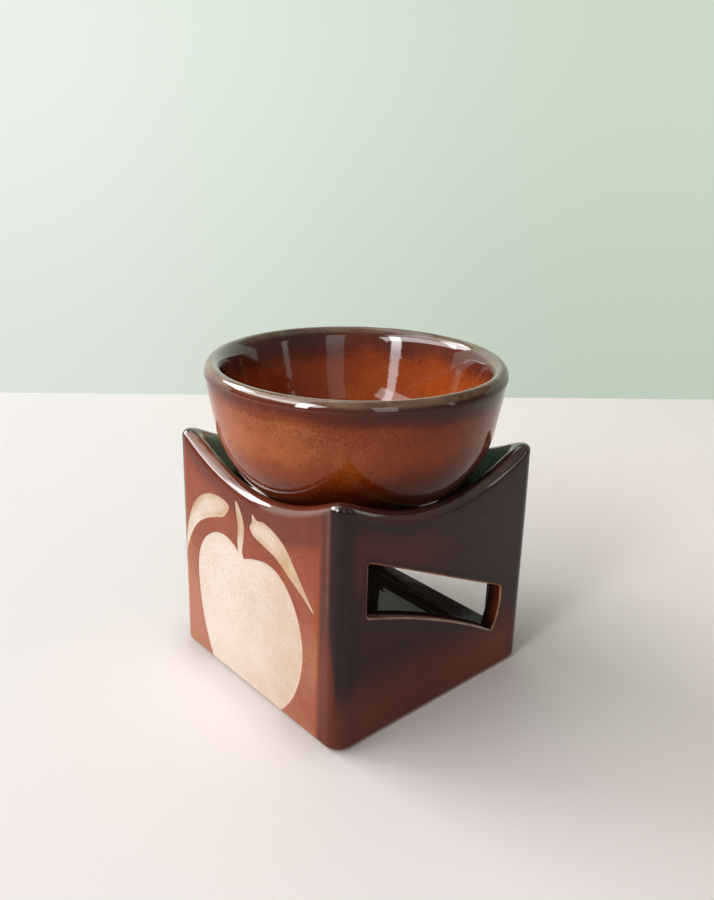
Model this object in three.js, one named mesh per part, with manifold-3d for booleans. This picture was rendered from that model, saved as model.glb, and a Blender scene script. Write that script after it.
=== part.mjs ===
// Ceramic oil burner: a square stand with four scooped walls, a loose bowl that rests in their
// saddle, and a tealight on the chamber floor. Millimetres, +Z up, the origin under the middle
// of the base. -Y is the front wall, +X and -X have the slanted slots, +Y has the doorway.
import * as THREE from 'three';
import { mergeVertices } from 'three/addons/utils/BufferGeometryUtils.js';
import Module from 'manifold-3d';

const wasm = await Module();
wasm.setup();

// Clearance between pieces that rest on or fit in one another
const seatGap = 0.3;

// Stand
const side = 86.7;
const wall = 6;
const floorTop = 8;
const tipHeight = 82.8;
const saddleHeight = 70.75;
const tipRounding = 7;
const wallLean = 0.6;
const cornerRound = 5;
const innerCornerRound = 2.5;
const baseRound = 2;
const lipRadius = 2.4;
const lipShareOfWall = 0.45;
const lipRound = Math.min(lipRadius, lipShareOfWall * wall);
const coveRound = 2.5;

// Slanted slot, high end towards the front wall
const slotFrontMargin = 11.8;
const slotRearMargin = 13.6;
const slotBelowSaddle = 9.25;
const slotAboveFloor = 8.5;
const slotHighEnd = 17.8;
const slotLowEnd = 16.2;
const slotSillBow = 3.6;
const slotEndBulge = 2.6;

// Doorway in the rear wall, its sill level with the chamber floor
const doorMargin = 12.5;
const doorLintel = 33.25;
const doorRound = 6;

// Bowl
const bowlOverhang = 5.65;
const bowlHeight = 49.7;
const bowlFloor = 5.5;
const flareHeight = 19.5;
const flareSlope = 0.142;
const rimRound = 1.3;
// Inside, the rim rolls over from its land, as a quarter ellipse, into the basin's sloping wall
const rimLand = 2.5;
const rollRun = 4.2;
const rollDrop = 8.4;
const basinSlope = 0.25;
const footRadius = 20;
const footRing = 3;
const footRecess = 0.9;
const footRound = 0.8;
// Quarter turn, counted from the front, at which the foot's rounding meets the bowl's side
const footTurnEnd = 3.6;

// Tealight
const cupRadius = 19;
const cupHeight = 15.5;
const cupWall = 0.4;
const cupBead = 0.45;
const cupHeelRound = 1;
const candleWallGap = 8.5;
const waxBelowRim = 1.6;
const waxDish = 0.7;
const wickRadius = 0.8;
const wickAboveWax = 7;
const holderRadius = 7;
const holderThick = 0.4;
const collarWall = 0.35;
const collarHeight = 3.2;

// Facets
const sideSteps = 14;
const cornerSteps = 6;
const roundSteps = 5;
const bowlSteps = 72;
const bellySteps = 11;
const cupSteps = 48;
const smallSteps = 16;
const curveSteps = 8;
const seatSamples = 300;

const half = side / 2;
const innerHalf = half - wall;

// Points of an elliptic arc about (cx, cy), its angles a0 and a1 counted in quarter turns
function arc(cx, cy, rx, ry, a0, a1, steps) {
  return Array.from({ length: steps + 1 }, (_, i) => {
    const a = (a0 + (a1 - a0) * i / steps) * Math.PI / 2;
    return [cx + rx * Math.cos(a), cy + ry * Math.sin(a)];
  });
}

// Height of the ridge at a place in a wall. Each wall is scooped by a parabola along its length,
// and where two walls meet the lower scoop counts, blended over tipRounding. The rise of the
// parabola brings the tip of each rounded corner to tipHeight
function ridgeHeight(x, y) {
  const blend = Math.max(tipRounding - Math.abs(Math.abs(x) - Math.abs(y)), 0);
  const along = Math.min(Math.abs(x), Math.abs(y)) - blend ** 2 / (4 * tipRounding);
  const tipAlong = half - cornerRound * (1 - Math.SQRT1_2) - tipRounding / 4;
  return saddleHeight + (tipHeight - saddleHeight) * (along / tipAlong) ** 2;
}

// Stations round the outline of the stand, each a pair of points on the outer and inner faces
function standStations() {
  const stations = [];
  const straight = half - cornerRound;
  const innerStraight = innerHalf - innerCornerRound;
  for (let wallIndex = 0; wallIndex < 4; wallIndex++) {
    const turn = new THREE.Matrix3().makeRotation(wallIndex * Math.PI / 2);
    const add = (outer, inner) => stations.push({
      outer: new THREE.Vector2(...outer).applyMatrix3(turn),
      inner: new THREE.Vector2(...inner).applyMatrix3(turn),
    });
    for (let i = 0; i < sideSteps; i++) {
      const share = 2 * i / sideSteps - 1;
      add([straight * share, -half], [innerStraight * share, -innerHalf]);
    }
    for (const [x, y] of arc(0, 0, 1, 1, -1, 0, cornerSteps).slice(0, -1)) {
      add([straight + cornerRound * x, -straight + cornerRound * y],
        [innerStraight + innerCornerRound * x, -innerStraight + innerCornerRound * y]);
    }
  }
  return stations;
}

// Rows of the section through a wall, from under the base over the rounded lip to the chamber
// floor, as [distance in from the outer face, height]. The lip's heights count from the ridge
function wallSection() {
  const foot = arc(baseRound, baseRound, baseRound, baseRound, 3, 2, roundSteps);
  const lip = [
    ...arc(lipRound, -lipRound, lipRound, lipRound, 2, 1, roundSteps),
    ...arc(wall - lipRound, -lipRound, lipRound, lipRound, 1, 0, roundSteps),
  ];
  const cove = arc(wall + coveRound, floorTop + coveRound, coveRound, coveRound, 2, 3, roundSteps);
  return [
    ...foot.map(([inset, z]) => ({ inset, z, onRidge: false })),
    ...lip.map(([inset, z]) => ({ inset, z, onRidge: true })),
    ...cove.map(([inset, z]) => ({ inset, z, onRidge: false })),
  ];
}

// The place of a section's row at a station, drawn in with height by the lean of the walls
function standPoint(station, { inset, z, onRidge }) {
  const p = inset <= wall
    ? station.outer.clone().lerp(station.inner, inset / wall)
    : station.inner.clone().multiplyScalar((half - inset) / innerHalf);
  const height = onRidge ? ridgeHeight(p.x, p.y) + z : z;
  p.multiplyScalar(1 - wallLean * height / (tipHeight * half));
  return [p.x, p.y, height];
}

// Closed body through rings of points, with a pole below the first ring and above the last
function loftBody(rings, bottom, top) {
  const count = rings[0].length;
  const positions = [bottom, ...rings.flat(), top].flat();
  const last = rings.length * count + 1;
  const index = [];
  for (let i = 0; i < count; i++) {
    const j = (i + 1) % count;
    index.push(0, 1 + j, 1 + i);
    for (let r = 0; r < rings.length - 1; r++) {
      const low = 1 + r * count;
      const high = low + count;
      index.push(low + i, low + j, high + j, low + i, high + j, high + i);
    }
    const topRing = last - count;
    index.push(topRing + i, topRing + j, last);
  }
  const geometry = new THREE.BufferGeometry();
  geometry.setAttribute('position', new THREE.Float32BufferAttribute(positions, 3));
  geometry.setIndex(index);
  return geometry;
}

function toSolid(geometry) {
  const bare = geometry.clone();
  bare.deleteAttribute('normal');
  bare.deleteAttribute('uv');
  const merged = mergeVertices(bare, 1e-5);
  return new wasm.Manifold(new wasm.Mesh({
    numProp: 3,
    vertProperties: Float32Array.from(merged.attributes.position.array),
    triVerts: Uint32Array.from(merged.index.array),
  }));
}

function toGeometry(solid) {
  const mesh = solid.getMesh();
  const geometry = new THREE.BufferGeometry();
  geometry.setAttribute('position', new THREE.Float32BufferAttribute(mesh.vertProperties, 3));
  geometry.setIndex(Array.from(mesh.triVerts));
  return geometry;
}

// Outline of the slanted slot in a side wall: x along the wall from front to rear, y up
function slotOutline() {
  const front = -half + slotFrontMargin;
  const rear = half - slotRearMargin;
  const highTop = saddleHeight - slotBelowSaddle;
  const lowSill = floorTop + slotAboveFloor;
  const highSill = highTop - slotHighEnd;
  const lowTop = lowSill + slotLowEnd;
  const outline = new THREE.Shape();
  outline.moveTo(front, highTop);
  outline.lineTo(front, highSill);
  outline.quadraticCurveTo(
    (front + rear) / 2, (highSill + lowSill) / 2 + slotSillBow, rear - slotEndBulge, lowSill);
  outline.quadraticCurveTo(rear + slotEndBulge / 2, (lowSill + lowTop) / 2, rear, lowTop);
  outline.closePath();
  return outline;
}

// Outline of the doorway: x across the rear wall, y up, the upper corners rounded
function doorOutline() {
  const w = half - doorMargin;
  const top = saddleHeight - doorLintel;
  const outline = new THREE.Shape();
  outline.moveTo(-w, floorTop);
  outline.lineTo(w, floorTop);
  outline.lineTo(w, top - doorRound);
  outline.absarc(w - doorRound, top - doorRound, doorRound, 0, Math.PI / 2, false);
  outline.lineTo(-w + doorRound, top);
  outline.absarc(-w + doorRound, top - doorRound, doorRound, Math.PI / 2, Math.PI, false);
  outline.closePath();
  return outline;
}

// Cutter that carries an outline through one wall; `turn` is the wall's direction about Z from +Y
function wallCutter(outline, turn) {
  const overrun = 2;
  const depth = wall + wallLean + 2 * overrun;
  const cutter = new THREE.ExtrudeGeometry(
    outline, { depth, bevelEnabled: false, curveSegments: curveSteps });
  cutter.rotateX(Math.PI / 2);
  cutter.translate(0, half + overrun, 0);
  cutter.rotateZ(turn);
  return toSolid(cutter);
}

function standGeometry() {
  const stations = standStations();
  const rings = wallSection().map((row) => stations.map((station) => standPoint(station, row)));
  const body = toSolid(loftBody(rings, [0, 0, 0], [0, 0, floorTop]));
  const slot = slotOutline();
  // The +Y cutter's x runs to the right seen from inside, so each side wall's slot is mirrored
  // as needed to keep its high end at the front
  const mirrored = new THREE.Shape(slot.getPoints(curveSteps).map((p) => new THREE.Vector2(-p.x, p.y)));
  return toGeometry(body
    .subtract(wallCutter(slot, Math.PI / 2))
    .subtract(wallCutter(mirrored, -Math.PI / 2))
    .subtract(wallCutter(doorOutline(), 0)));
}

// The bowl's wall is straight and flares out to the rim. Below it, an ellipse about the axis
// leaves it without a kink and ends at [endRadius, endHeight], the foot or the bowl's floor
const rimRadius = half + bowlOverhang;
const flareFoot = bowlHeight - flareHeight;

function bowlCurve(wallRadius, slope, endRadius, endHeight) {
  const drop = flareFoot - endHeight;
  const squash = (wallRadius ** 2 - endRadius ** 2 - 2 * slope * wallRadius * drop) / drop ** 2;
  const rise = slope * wallRadius / squash;
  const across = Math.sqrt(wallRadius ** 2 + squash * rise ** 2);
  const down = across / Math.sqrt(squash);
  const quarter = (radius) => 3 + Math.asin(radius / across) / (Math.PI / 2);
  return arc(0, flareFoot + rise, across, down, quarter(endRadius), quarter(wallRadius), bellySteps);
}

// Outlines of the bowl as [radius, height above the foot]
function bowlOutside() {
  const wallRadius = rimRadius - flareSlope * flareHeight;
  return [
    ...arc(footRadius - footRound, footRound, footRound, footRound, 3, footTurnEnd, 2),
    ...bowlCurve(wallRadius, flareSlope, footRadius, 0).slice(1),
    ...arc(rimRadius - rimRound, bowlHeight - rimRound, rimRound, rimRound, 0, 1, roundSteps),
  ];
}

function bowlInside() {
  const rollEnd = 2 - Math.atan(basinSlope * rollDrop / rollRun) / (Math.PI / 2);
  const roll = arc(
    rimRadius - rimLand, bowlHeight - rollDrop, rollRun, rollDrop, 1, rollEnd, roundSteps);
  const [rollRadius, rollHeight] = roll.at(-1);
  const wallRadius = rollRadius - basinSlope * (rollHeight - flareFoot);
  return [...roll, ...bowlCurve(wallRadius, basinSlope, 0, bowlFloor).reverse()];
}

function bowlGeometry() {
  const outline = [
    [0, footRecess],
    [footRadius - footRing - footRecess, footRecess],
    [footRadius - footRing, 0],
    ...bowlOutside(),
    ...bowlInside(),
  ];
  return lathe(outline, bowlSteps);
}

// Turned body: an outline as [radius, height] that starts and ends on the axis, +Z up
function lathe(outline, steps) {
  const points = outline.map(([r, z]) => new THREE.Vector2(Math.max(r, 0), z));
  const geometry = new THREE.LatheGeometry(points, steps);
  geometry.rotateX(Math.PI / 2);
  return toGeometry(toSolid(geometry));
}

// Height of the foot at which the bowl comes to rest seatGap clear of the rounded ridge
function bowlSeat() {
  const reach = lipRound + seatGap;
  const outline = new THREE.Path(bowlOutside().map(([r, z]) => new THREE.Vector2(r, z)));
  const outside = outline.getSpacedPoints(seatSamples);
  let seat = floorTop;
  for (const station of standStations()) {
    const [x, y, z] = standPoint(station, { inset: wall - lipRound, z: -lipRound, onRidge: true });
    for (const point of outside) {
      const across = Math.abs(point.x - Math.hypot(x, y));
      if (across < reach) seat = Math.max(seat, z + Math.sqrt(reach ** 2 - across ** 2) - point.y);
    }
  }
  return seat;
}

const waxTop = cupHeight - waxBelowRim;
const waxBottom = cupWall + seatGap;
const collarBore = wickRadius + seatGap;
const collarRadius = collarBore + collarWall;

function cupGeometry() {
  const inner = cupRadius - cupWall;
  return lathe([
    [0, 0],
    ...arc(cupRadius - cupHeelRound, cupHeelRound, cupHeelRound, cupHeelRound, 3, 4, 3),
    ...arc(cupRadius, cupHeight - cupBead, cupBead, cupBead, -1, 1, 4),
    [inner, cupHeight],
    [inner, cupWall + cupHeelRound],
    [inner - cupHeelRound, cupWall],
    [0, cupWall],
  ], cupSteps);
}

// Wax with a pocket underneath for the holder, and a bore for its collar and the wick
function waxGeometry() {
  const radius = cupRadius - cupWall - seatGap;
  const pocket = waxBottom + holderThick + seatGap;
  const collarTop = waxBottom + holderThick + collarHeight + seatGap;
  const points = [
    [holderRadius + seatGap, waxBottom],
    [radius - cupHeelRound, waxBottom],
    [radius, waxBottom + cupHeelRound],
    [radius, waxTop],
    [radius - 2 * waxDish, waxTop - waxDish],
    [collarBore, waxTop - waxDish],
    [collarBore, collarTop],
    [collarRadius + seatGap, collarTop],
    [collarRadius + seatGap, pocket],
    [holderRadius + seatGap, pocket],
    [holderRadius + seatGap, waxBottom],
  ];
  return lathe(points, cupSteps);
}

function holderGeometry() {
  return lathe([
    [collarBore, 0],
    [holderRadius, 0],
    [holderRadius, holderThick],
    [collarRadius, holderThick],
    [collarRadius, holderThick + collarHeight],
    [collarBore, holderThick + collarHeight],
    [collarBore, 0],
  ], smallSteps * 2);
}

function wickGeometry() {
  const length = waxTop - waxDish - waxBottom + wickAboveWax;
  return lathe([
    [0, 0],
    [wickRadius, 0],
    [wickRadius, length - wickRadius],
    [wickRadius / 2, length],
    [0, length],
  ], smallSteps);
}

function piece(name, geometry, color, roughness, metalness) {
  const mesh = new THREE.Mesh(geometry, new THREE.MeshStandardMaterial({ color, roughness, metalness }));
  mesh.name = name;
  return mesh;
}

function tealight() {
  const group = new THREE.Group();
  const centre = -(innerHalf - candleWallGap - cupRadius);
  group.position.set(centre, centre, floorTop + seatGap);
  const holder = piece('wick_holder', holderGeometry(), 0xb8bcc0, 0.35, 1);
  const wick = piece('wick', wickGeometry(), 0xe8e2d4, 0.9, 0);
  holder.position.z = waxBottom;
  wick.position.z = waxBottom;
  group.add(piece('tealight_cup', cupGeometry(), 0xc9ccd0, 0.3, 1));
  group.add(piece('tealight_wax', waxGeometry(), 0xf2efe6, 0.5, 0));
  group.add(holder, wick);
  return group;
}

const burner = new THREE.Group();
const bowl = piece('bowl', bowlGeometry(), 0x8f4a2a, 0.15, 0);
bowl.position.z = bowlSeat();
burner.add(piece('stand', standGeometry(), 0x6b3a28, 0.18, 0), bowl, tealight());

export default burner;
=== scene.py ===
"""Looks of a ceramic oil burner: a glazed stand, its loose bowl, a tealight, and a plain pale studio.

The classes hold their sizes in millimetres, as the part's source does. Meshes leave them in metres.
"""

import logging
import math
from dataclasses import dataclass, field
from enum import Enum
from typing import Callable, Sequence

import bmesh
import bpy
import numpy as np
from bpy.types import Material, Node, NodeSocket, NodeTree, Object
from mathutils import Matrix, Vector


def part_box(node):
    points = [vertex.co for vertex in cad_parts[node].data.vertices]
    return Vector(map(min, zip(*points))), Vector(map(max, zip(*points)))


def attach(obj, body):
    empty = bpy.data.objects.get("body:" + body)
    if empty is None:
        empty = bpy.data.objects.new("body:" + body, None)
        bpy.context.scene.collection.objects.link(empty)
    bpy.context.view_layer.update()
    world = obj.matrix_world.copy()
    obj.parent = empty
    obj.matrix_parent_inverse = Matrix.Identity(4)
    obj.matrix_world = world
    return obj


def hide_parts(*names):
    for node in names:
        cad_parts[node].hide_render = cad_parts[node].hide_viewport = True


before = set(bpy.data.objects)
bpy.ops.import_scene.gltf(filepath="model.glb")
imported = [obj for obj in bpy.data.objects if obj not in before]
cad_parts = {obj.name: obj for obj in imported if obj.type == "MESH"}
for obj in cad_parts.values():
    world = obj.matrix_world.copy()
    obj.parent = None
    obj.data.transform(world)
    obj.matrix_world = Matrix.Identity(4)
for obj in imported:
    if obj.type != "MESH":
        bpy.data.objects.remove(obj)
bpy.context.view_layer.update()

MM = 0.001
LOG = logging.getLogger("oil_burner")
TINY = 1e-6
FAR = 99.0
Array = np.ndarray
Colour = tuple[float, float, float]
Span = tuple[float, float]
Stations = tuple[Array, Array]
Places = dict[str, Array]
Dress = Callable[[Array, Places], Places]
Shape = Callable[[Array, Places], Array]


def node_box(name: str) -> tuple[Array, Array]:
    """Lowest and highest corner of a CAD node in millimetres."""
    low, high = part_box(name)
    return np.array(low) / MM, np.array(high) / MM


def smooth(value: Array, start: float, end: float) -> Array:
    """Smooth step from 0 at its start to 1 at its end, whichever of the two is higher."""
    share = np.clip((value - start) / (end - start), 0.0, 1.0)
    return share * share * (3.0 - 2.0 * share)


def arc(centre: Sequence[float], radius: float | Sequence[float], turns: Sequence[float],
        steps: int) -> Array:
    """Points on an elliptic arc.

    Args:
        centre: The ellipse's centre.
        radius: Its radius, or its two radii.
        turns: Start and end angle in quarter turns.
        steps: How many steps it takes.

    Returns:
        Rows of points, one more than the steps.
    """
    across, up = np.broadcast_to(radius, 2)
    angle = np.linspace(turns[0], turns[1], steps + 1) * math.pi / 2
    return np.stack([centre[0] + across * np.cos(angle), centre[1] + up * np.sin(angle)], 1)


def turned(points: Array, quarter_turns: int) -> Array:
    """Points turned about the Z axis.

    Args:
        points: An array whose last axis holds x, y and perhaps z.
        quarter_turns: Quarter turns, anticlockwise seen from above.

    Returns:
        The turned points.
    """
    cosine, sine = ((1, 0), (0, 1), (-1, 0), (0, -1))[quarter_turns % 4]
    result = points.copy()
    result[..., 0] = cosine * points[..., 0] - sine * points[..., 1]
    result[..., 1] = sine * points[..., 0] + cosine * points[..., 1]
    return result


def distances_along(line: Array) -> Array:
    """Distance from a line's start to each of its points."""
    return np.concatenate([[0.0], np.cumsum(np.linalg.norm(np.diff(line, axis=0), axis=1))])


def spaced(line: Array, count: int) -> Array:
    """Points at equal distances along a line.

    Args:
        line: The line's own points.
        count: How many points to give.

    Returns:
        That many points, the line's ends among them.
    """
    lengths = distances_along(line)
    places = np.linspace(0.0, lengths[-1], count)
    return np.stack([np.interp(places, lengths, line[:, i]) for i in range(line.shape[1])], 1)


def curve(start: Sequence[float], control: Sequence[float], end: Sequence[float], weight: float = 1.0,
          steps: int = 24) -> Array:
    """Points on a curve with one control point.

    Args:
        start: Where it starts.
        control: The point that it leans to.
        end: Where it ends.
        weight: How strongly it leans. The cosine of half a corner's turn gives part of a circle.
        steps: How many steps it takes.

    Returns:
        The points.
    """
    share = np.linspace(0, 1, steps + 1)[:, None]
    weights = ((1 - share) ** 2, 2 * weight * share * (1 - share), share ** 2)
    total = sum(part * np.array(point, float) for part, point in zip(weights, (start, control, end)))
    return total / sum(weights)


def rounded_outline(sides: Sequence[Array], radii: Sequence[float],
                    counts: Sequence[int]) -> Array:
    """Closed outline of four sides with rounded corners.

    Args:
        sides: The sides' lines, each starting where the one before it ends.
        radii: Radius of the corner at the start of each side.
        counts: Steps on each side, from the middle of one corner to the middle of the next.

    Returns:
        The outline's points, without a repeated end.
    """
    samples = 600
    dense = [spaced(side, samples) for side in sides]
    corners = []
    for place, radius in enumerate(radii):
        before, after = dense[place - 1][::-1], dense[place]
        start, end = (line[np.searchsorted(distances_along(line), radius)] for line in (before, after))
        corners.append(curve(start, after[0], end, weight=math.sqrt(0.5)))
    outline = []
    for place, count in enumerate(counts):
        following = (place + 1) % len(sides)
        lengths = distances_along(dense[place])
        kept = (lengths > radii[place]) & (lengths < lengths[-1] - radii[following])
        middle = len(corners[place]) // 2
        start, end = corners[place][middle:], corners[following][:middle + 1]
        outline.append(spaced(np.concatenate([start, dense[place][kept], end]), count + 1)[:-1])
    return np.concatenate(outline)


def section_rows(inset: object, own: object = 0.0, share: object = 0.0,
                 past: object = 0.0) -> Array:
    """Rows of a section: inset, height of its own, share of the ridge's height, distance past the crest."""
    return np.stack(np.broadcast_arrays(inset, own, share, past), 1)


def closed_spline(points: Sequence[Sequence[float]], steps: int = 12) -> Array:
    """Smooth closed curve through a few points.

    Args:
        points: The points, in order.
        steps: Steps from each point to the next.

    Returns:
        The curve's points, without a repeated end.
    """
    knots = np.array(points, float)
    before, after = np.roll(knots, 1, 0), np.roll(knots, -1, 0)
    beyond = np.roll(knots, -2, 0)
    share = (np.arange(steps) / steps)[None, :, None]
    a, b, c, d = (side[:, None, :] for side in (before, knots, after, beyond))
    curve = b + 0.5 * share * (c - a + share * (2 * a - 5 * b + 4 * c - d + share * (3 * (b - c) + d - a)))
    return curve.reshape(-1, 2)


def outline_distance(places: Array, outline: Array) -> Array:
    """Signed distance from places to a closed outline.

    Args:
        places: Rows of points.
        outline: The outline's points.

    Returns:
        The distances, negative inside the outline.
    """
    start, end = outline, np.roll(outline, -1, 0)
    along = end - start
    gap = places[:, None, :] - start[None]
    share = np.clip((gap * along).sum(2) / (along ** 2).sum(1), 0, 1)
    distance = np.linalg.norm(gap - share[..., None] * along, axis=2).min(1)
    straddles = (start[None, :, 1] > places[:, None, 1]) != (end[None, :, 1] > places[:, None, 1])
    rise = np.where(along[:, 1] == 0, 1.0, along[:, 1])
    left_of = gap[..., 0] < gap[..., 1] * along[:, 0] / rise
    inside = (straddles & left_of).sum(1) % 2 == 1
    return np.where(inside, -distance, distance)


def unevenness(points: Array, wavelength: float) -> Array:
    """Gentle waviness of a hand-made surface, between about -1 and 1.

    Args:
        points: Rows of points.
        wavelength: The typical length of a wave.

    Returns:
        One value for each point.
    """
    directions = ((1.0, 0.3, 0.5), (-0.4, 1.0, 0.2), (0.2, -0.6, 1.0), (0.8, 0.7, -0.6), (-0.9, 0.4, 0.9))
    total = np.zeros(len(points))
    for place, direction in enumerate(directions):
        phase = points @ np.array(direction) * 2 * math.pi / (wavelength * (1 + 0.37 * place))
        total += np.sin(phase + 1.7 * place)
    return total / len(directions)


@dataclass(frozen=True)
class Fade:
    """A smooth change along one measure of a piece, from 0 at its start to 1 at its end."""

    along: str
    start: float
    end: float

    def at(self, places: Places) -> Array:
        """How far it has gone at each place."""
        return smooth(places[self.along], self.start, self.end)


@dataclass(frozen=True)
class Hill:
    """A smooth hill along one measure of a piece, 1 at its centre."""

    along: str
    centre: float
    width: float

    def at(self, places: Places) -> Array:
        """Its height at each place."""
        return np.exp(-((places[self.along] - self.centre) / self.width) ** 2)


@dataclass(frozen=True)
class Share:
    """One measure of a piece that is a share already."""

    along: str

    def at(self, places: Places) -> Array:
        """The share at each place."""
        return places[self.along]


class Mark:
    """One part of a layer: an amount, in full where each of its limits is 1."""

    def __init__(self, amount: float, *limits: Fade | Hill | Share) -> None:
        """Keeps the amount and its limits."""
        self.amount = amount
        self.limits = limits

    def at(self, places: Places) -> Array | float:
        """What it adds at each place."""
        return math.prod((limit.at(places) for limit in self.limits), start=self.amount)


class Marks:
    """A layer's marks, which add up. A dataclass built on this one names each of them."""

    def total(self, places: Places) -> Array:
        """What the marks add up to at each place."""
        return sum(mark.at(places) for mark in vars(self).values())


class Patches:
    """A mesh under construction, made of patches of points that are welded where they meet."""

    def __init__(self, layers: Sequence[str]) -> None:
        """Starts empty.

        Args:
            layers: Names of the values that each point carries.
        """
        self.layer_names = tuple(layers)
        self.points: list[Array] = []
        self.values: list[Array] = []
        self.faces: list[Array] = []
        self.count = 0

    def add(self, points: Array, closed: bool = False, **layers: Array | float) -> None:
        """Adds a patch with rows and columns of points.

        Args:
            points: The points, as rows, columns, 3.
            closed: Whether the last column joins the first.
            layers: Values carried by the points, as numbers or as rows and columns.
        """
        rows, columns = points.shape[:2]
        values = np.zeros((rows, columns, len(self.layer_names)))
        for place, name in enumerate(self.layer_names):
            values[..., place] = layers.get(name, 0.0)
        self.points.append(points.reshape(-1, 3))
        self.values.append(values.reshape(rows * columns, -1))
        ids = self.count + np.arange(rows * columns).reshape(rows, columns)
        if closed:
            ids = np.hstack([ids, ids[:, :1]])
        corners = (ids[:-1, :-1], ids[:-1, 1:], ids[1:, 1:], ids[1:, :-1])
        self.faces.append(np.stack(corners, -1).reshape(-1, 4))
        self.count += rows * columns

    def welded(self) -> tuple[Array, Array, Array]:
        """Joins points that share a place.

        Returns:
            Points, their values, and faces of four points of which some may repeat.
        """
        points = np.concatenate(self.points)
        values = np.concatenate(self.values)
        _, first, same = np.unique(points.round(4), axis=0, return_index=True, return_inverse=True)
        return points[first], values[first], same.reshape(-1)[np.concatenate(self.faces)]

    def build(self, name: str, dress: Dress | None = None, shape: Shape | None = None) -> Object:
        """Makes a smooth object of the patches.

        Args:
            name: The object's name.
            dress: Gives the object's own layers from the points and the values that they carry.
            shape: Gives each point's displacement along its normal, from the points and those layers.

        Returns:
            The object, its layers stored as float attributes.
        """
        points, values, quads = self.welded()
        layers = dress(points, dict(zip(self.layer_names, values.T))) if dress else {}
        corners = [list(dict.fromkeys(quad)) for quad in quads.tolist()]
        mesh = bpy.data.meshes.new(name)
        mesh.from_pydata((points * MM).tolist(), [], [face for face in corners if len(face) > 2])
        tidy = bmesh.new()
        tidy.from_mesh(mesh)
        bmesh.ops.recalc_face_normals(tidy, faces=tidy.faces)
        tidy.to_mesh(mesh)
        tidy.free()
        mesh.shade_smooth()
        if shape:
            normals = np.zeros(len(points) * 3, np.float32)
            mesh.vertex_normals.foreach_get("vector", normals)
            moved = points + normals.reshape(-1, 3) * shape(points, layers)[:, None]
            mesh.vertices.foreach_set("co", (moved * MM).astype(np.float32).ravel())
            mesh.update()
        for layer, numbers in layers.items():
            attribute = mesh.attributes.new(layer, "FLOAT", "POINT")
            attribute.data.foreach_set("value", numbers.astype(np.float32))
        piece = bpy.data.objects.new(name, mesh)
        bpy.context.scene.collection.objects.link(piece)
        return piece


def lathe(patches: Patches, outline: Array, steps: int, centre: Sequence[float],
          **layers: Array) -> None:
    """Adds a turned surface to a mesh.

    Args:
        patches: The mesh under construction.
        outline: Rows of radius and height.
        steps: Steps round the axis.
        centre: Where the outline's origin stands.
        layers: One value for each point of the outline.
    """
    angle = np.arange(steps) * 2 * math.pi / steps
    radius, height = outline[:, :1], outline[:, 1:]
    points = np.stack([
        centre[0] + radius * np.cos(angle),
        centre[1] + radius * np.sin(angle),
        centre[2] + height + 0.0 * angle,
    ], -1)
    values = {name: np.repeat(value[:, None], steps, 1) for name, value in layers.items()}
    patches.add(points, closed=True, **values)


def placed(piece: Object, body: str, slot: str, *nodes: str) -> Object:
    """Puts a piece on its body, in the place of CAD nodes, which it hides.

    Args:
        piece: The piece.
        body: The CAD body that it rides on.
        slot: Not used.
        nodes: The CAD nodes that it replaces.

    Returns:
        The piece.
    """
    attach(piece, body)
    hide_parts(*nodes)
    return piece


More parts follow.
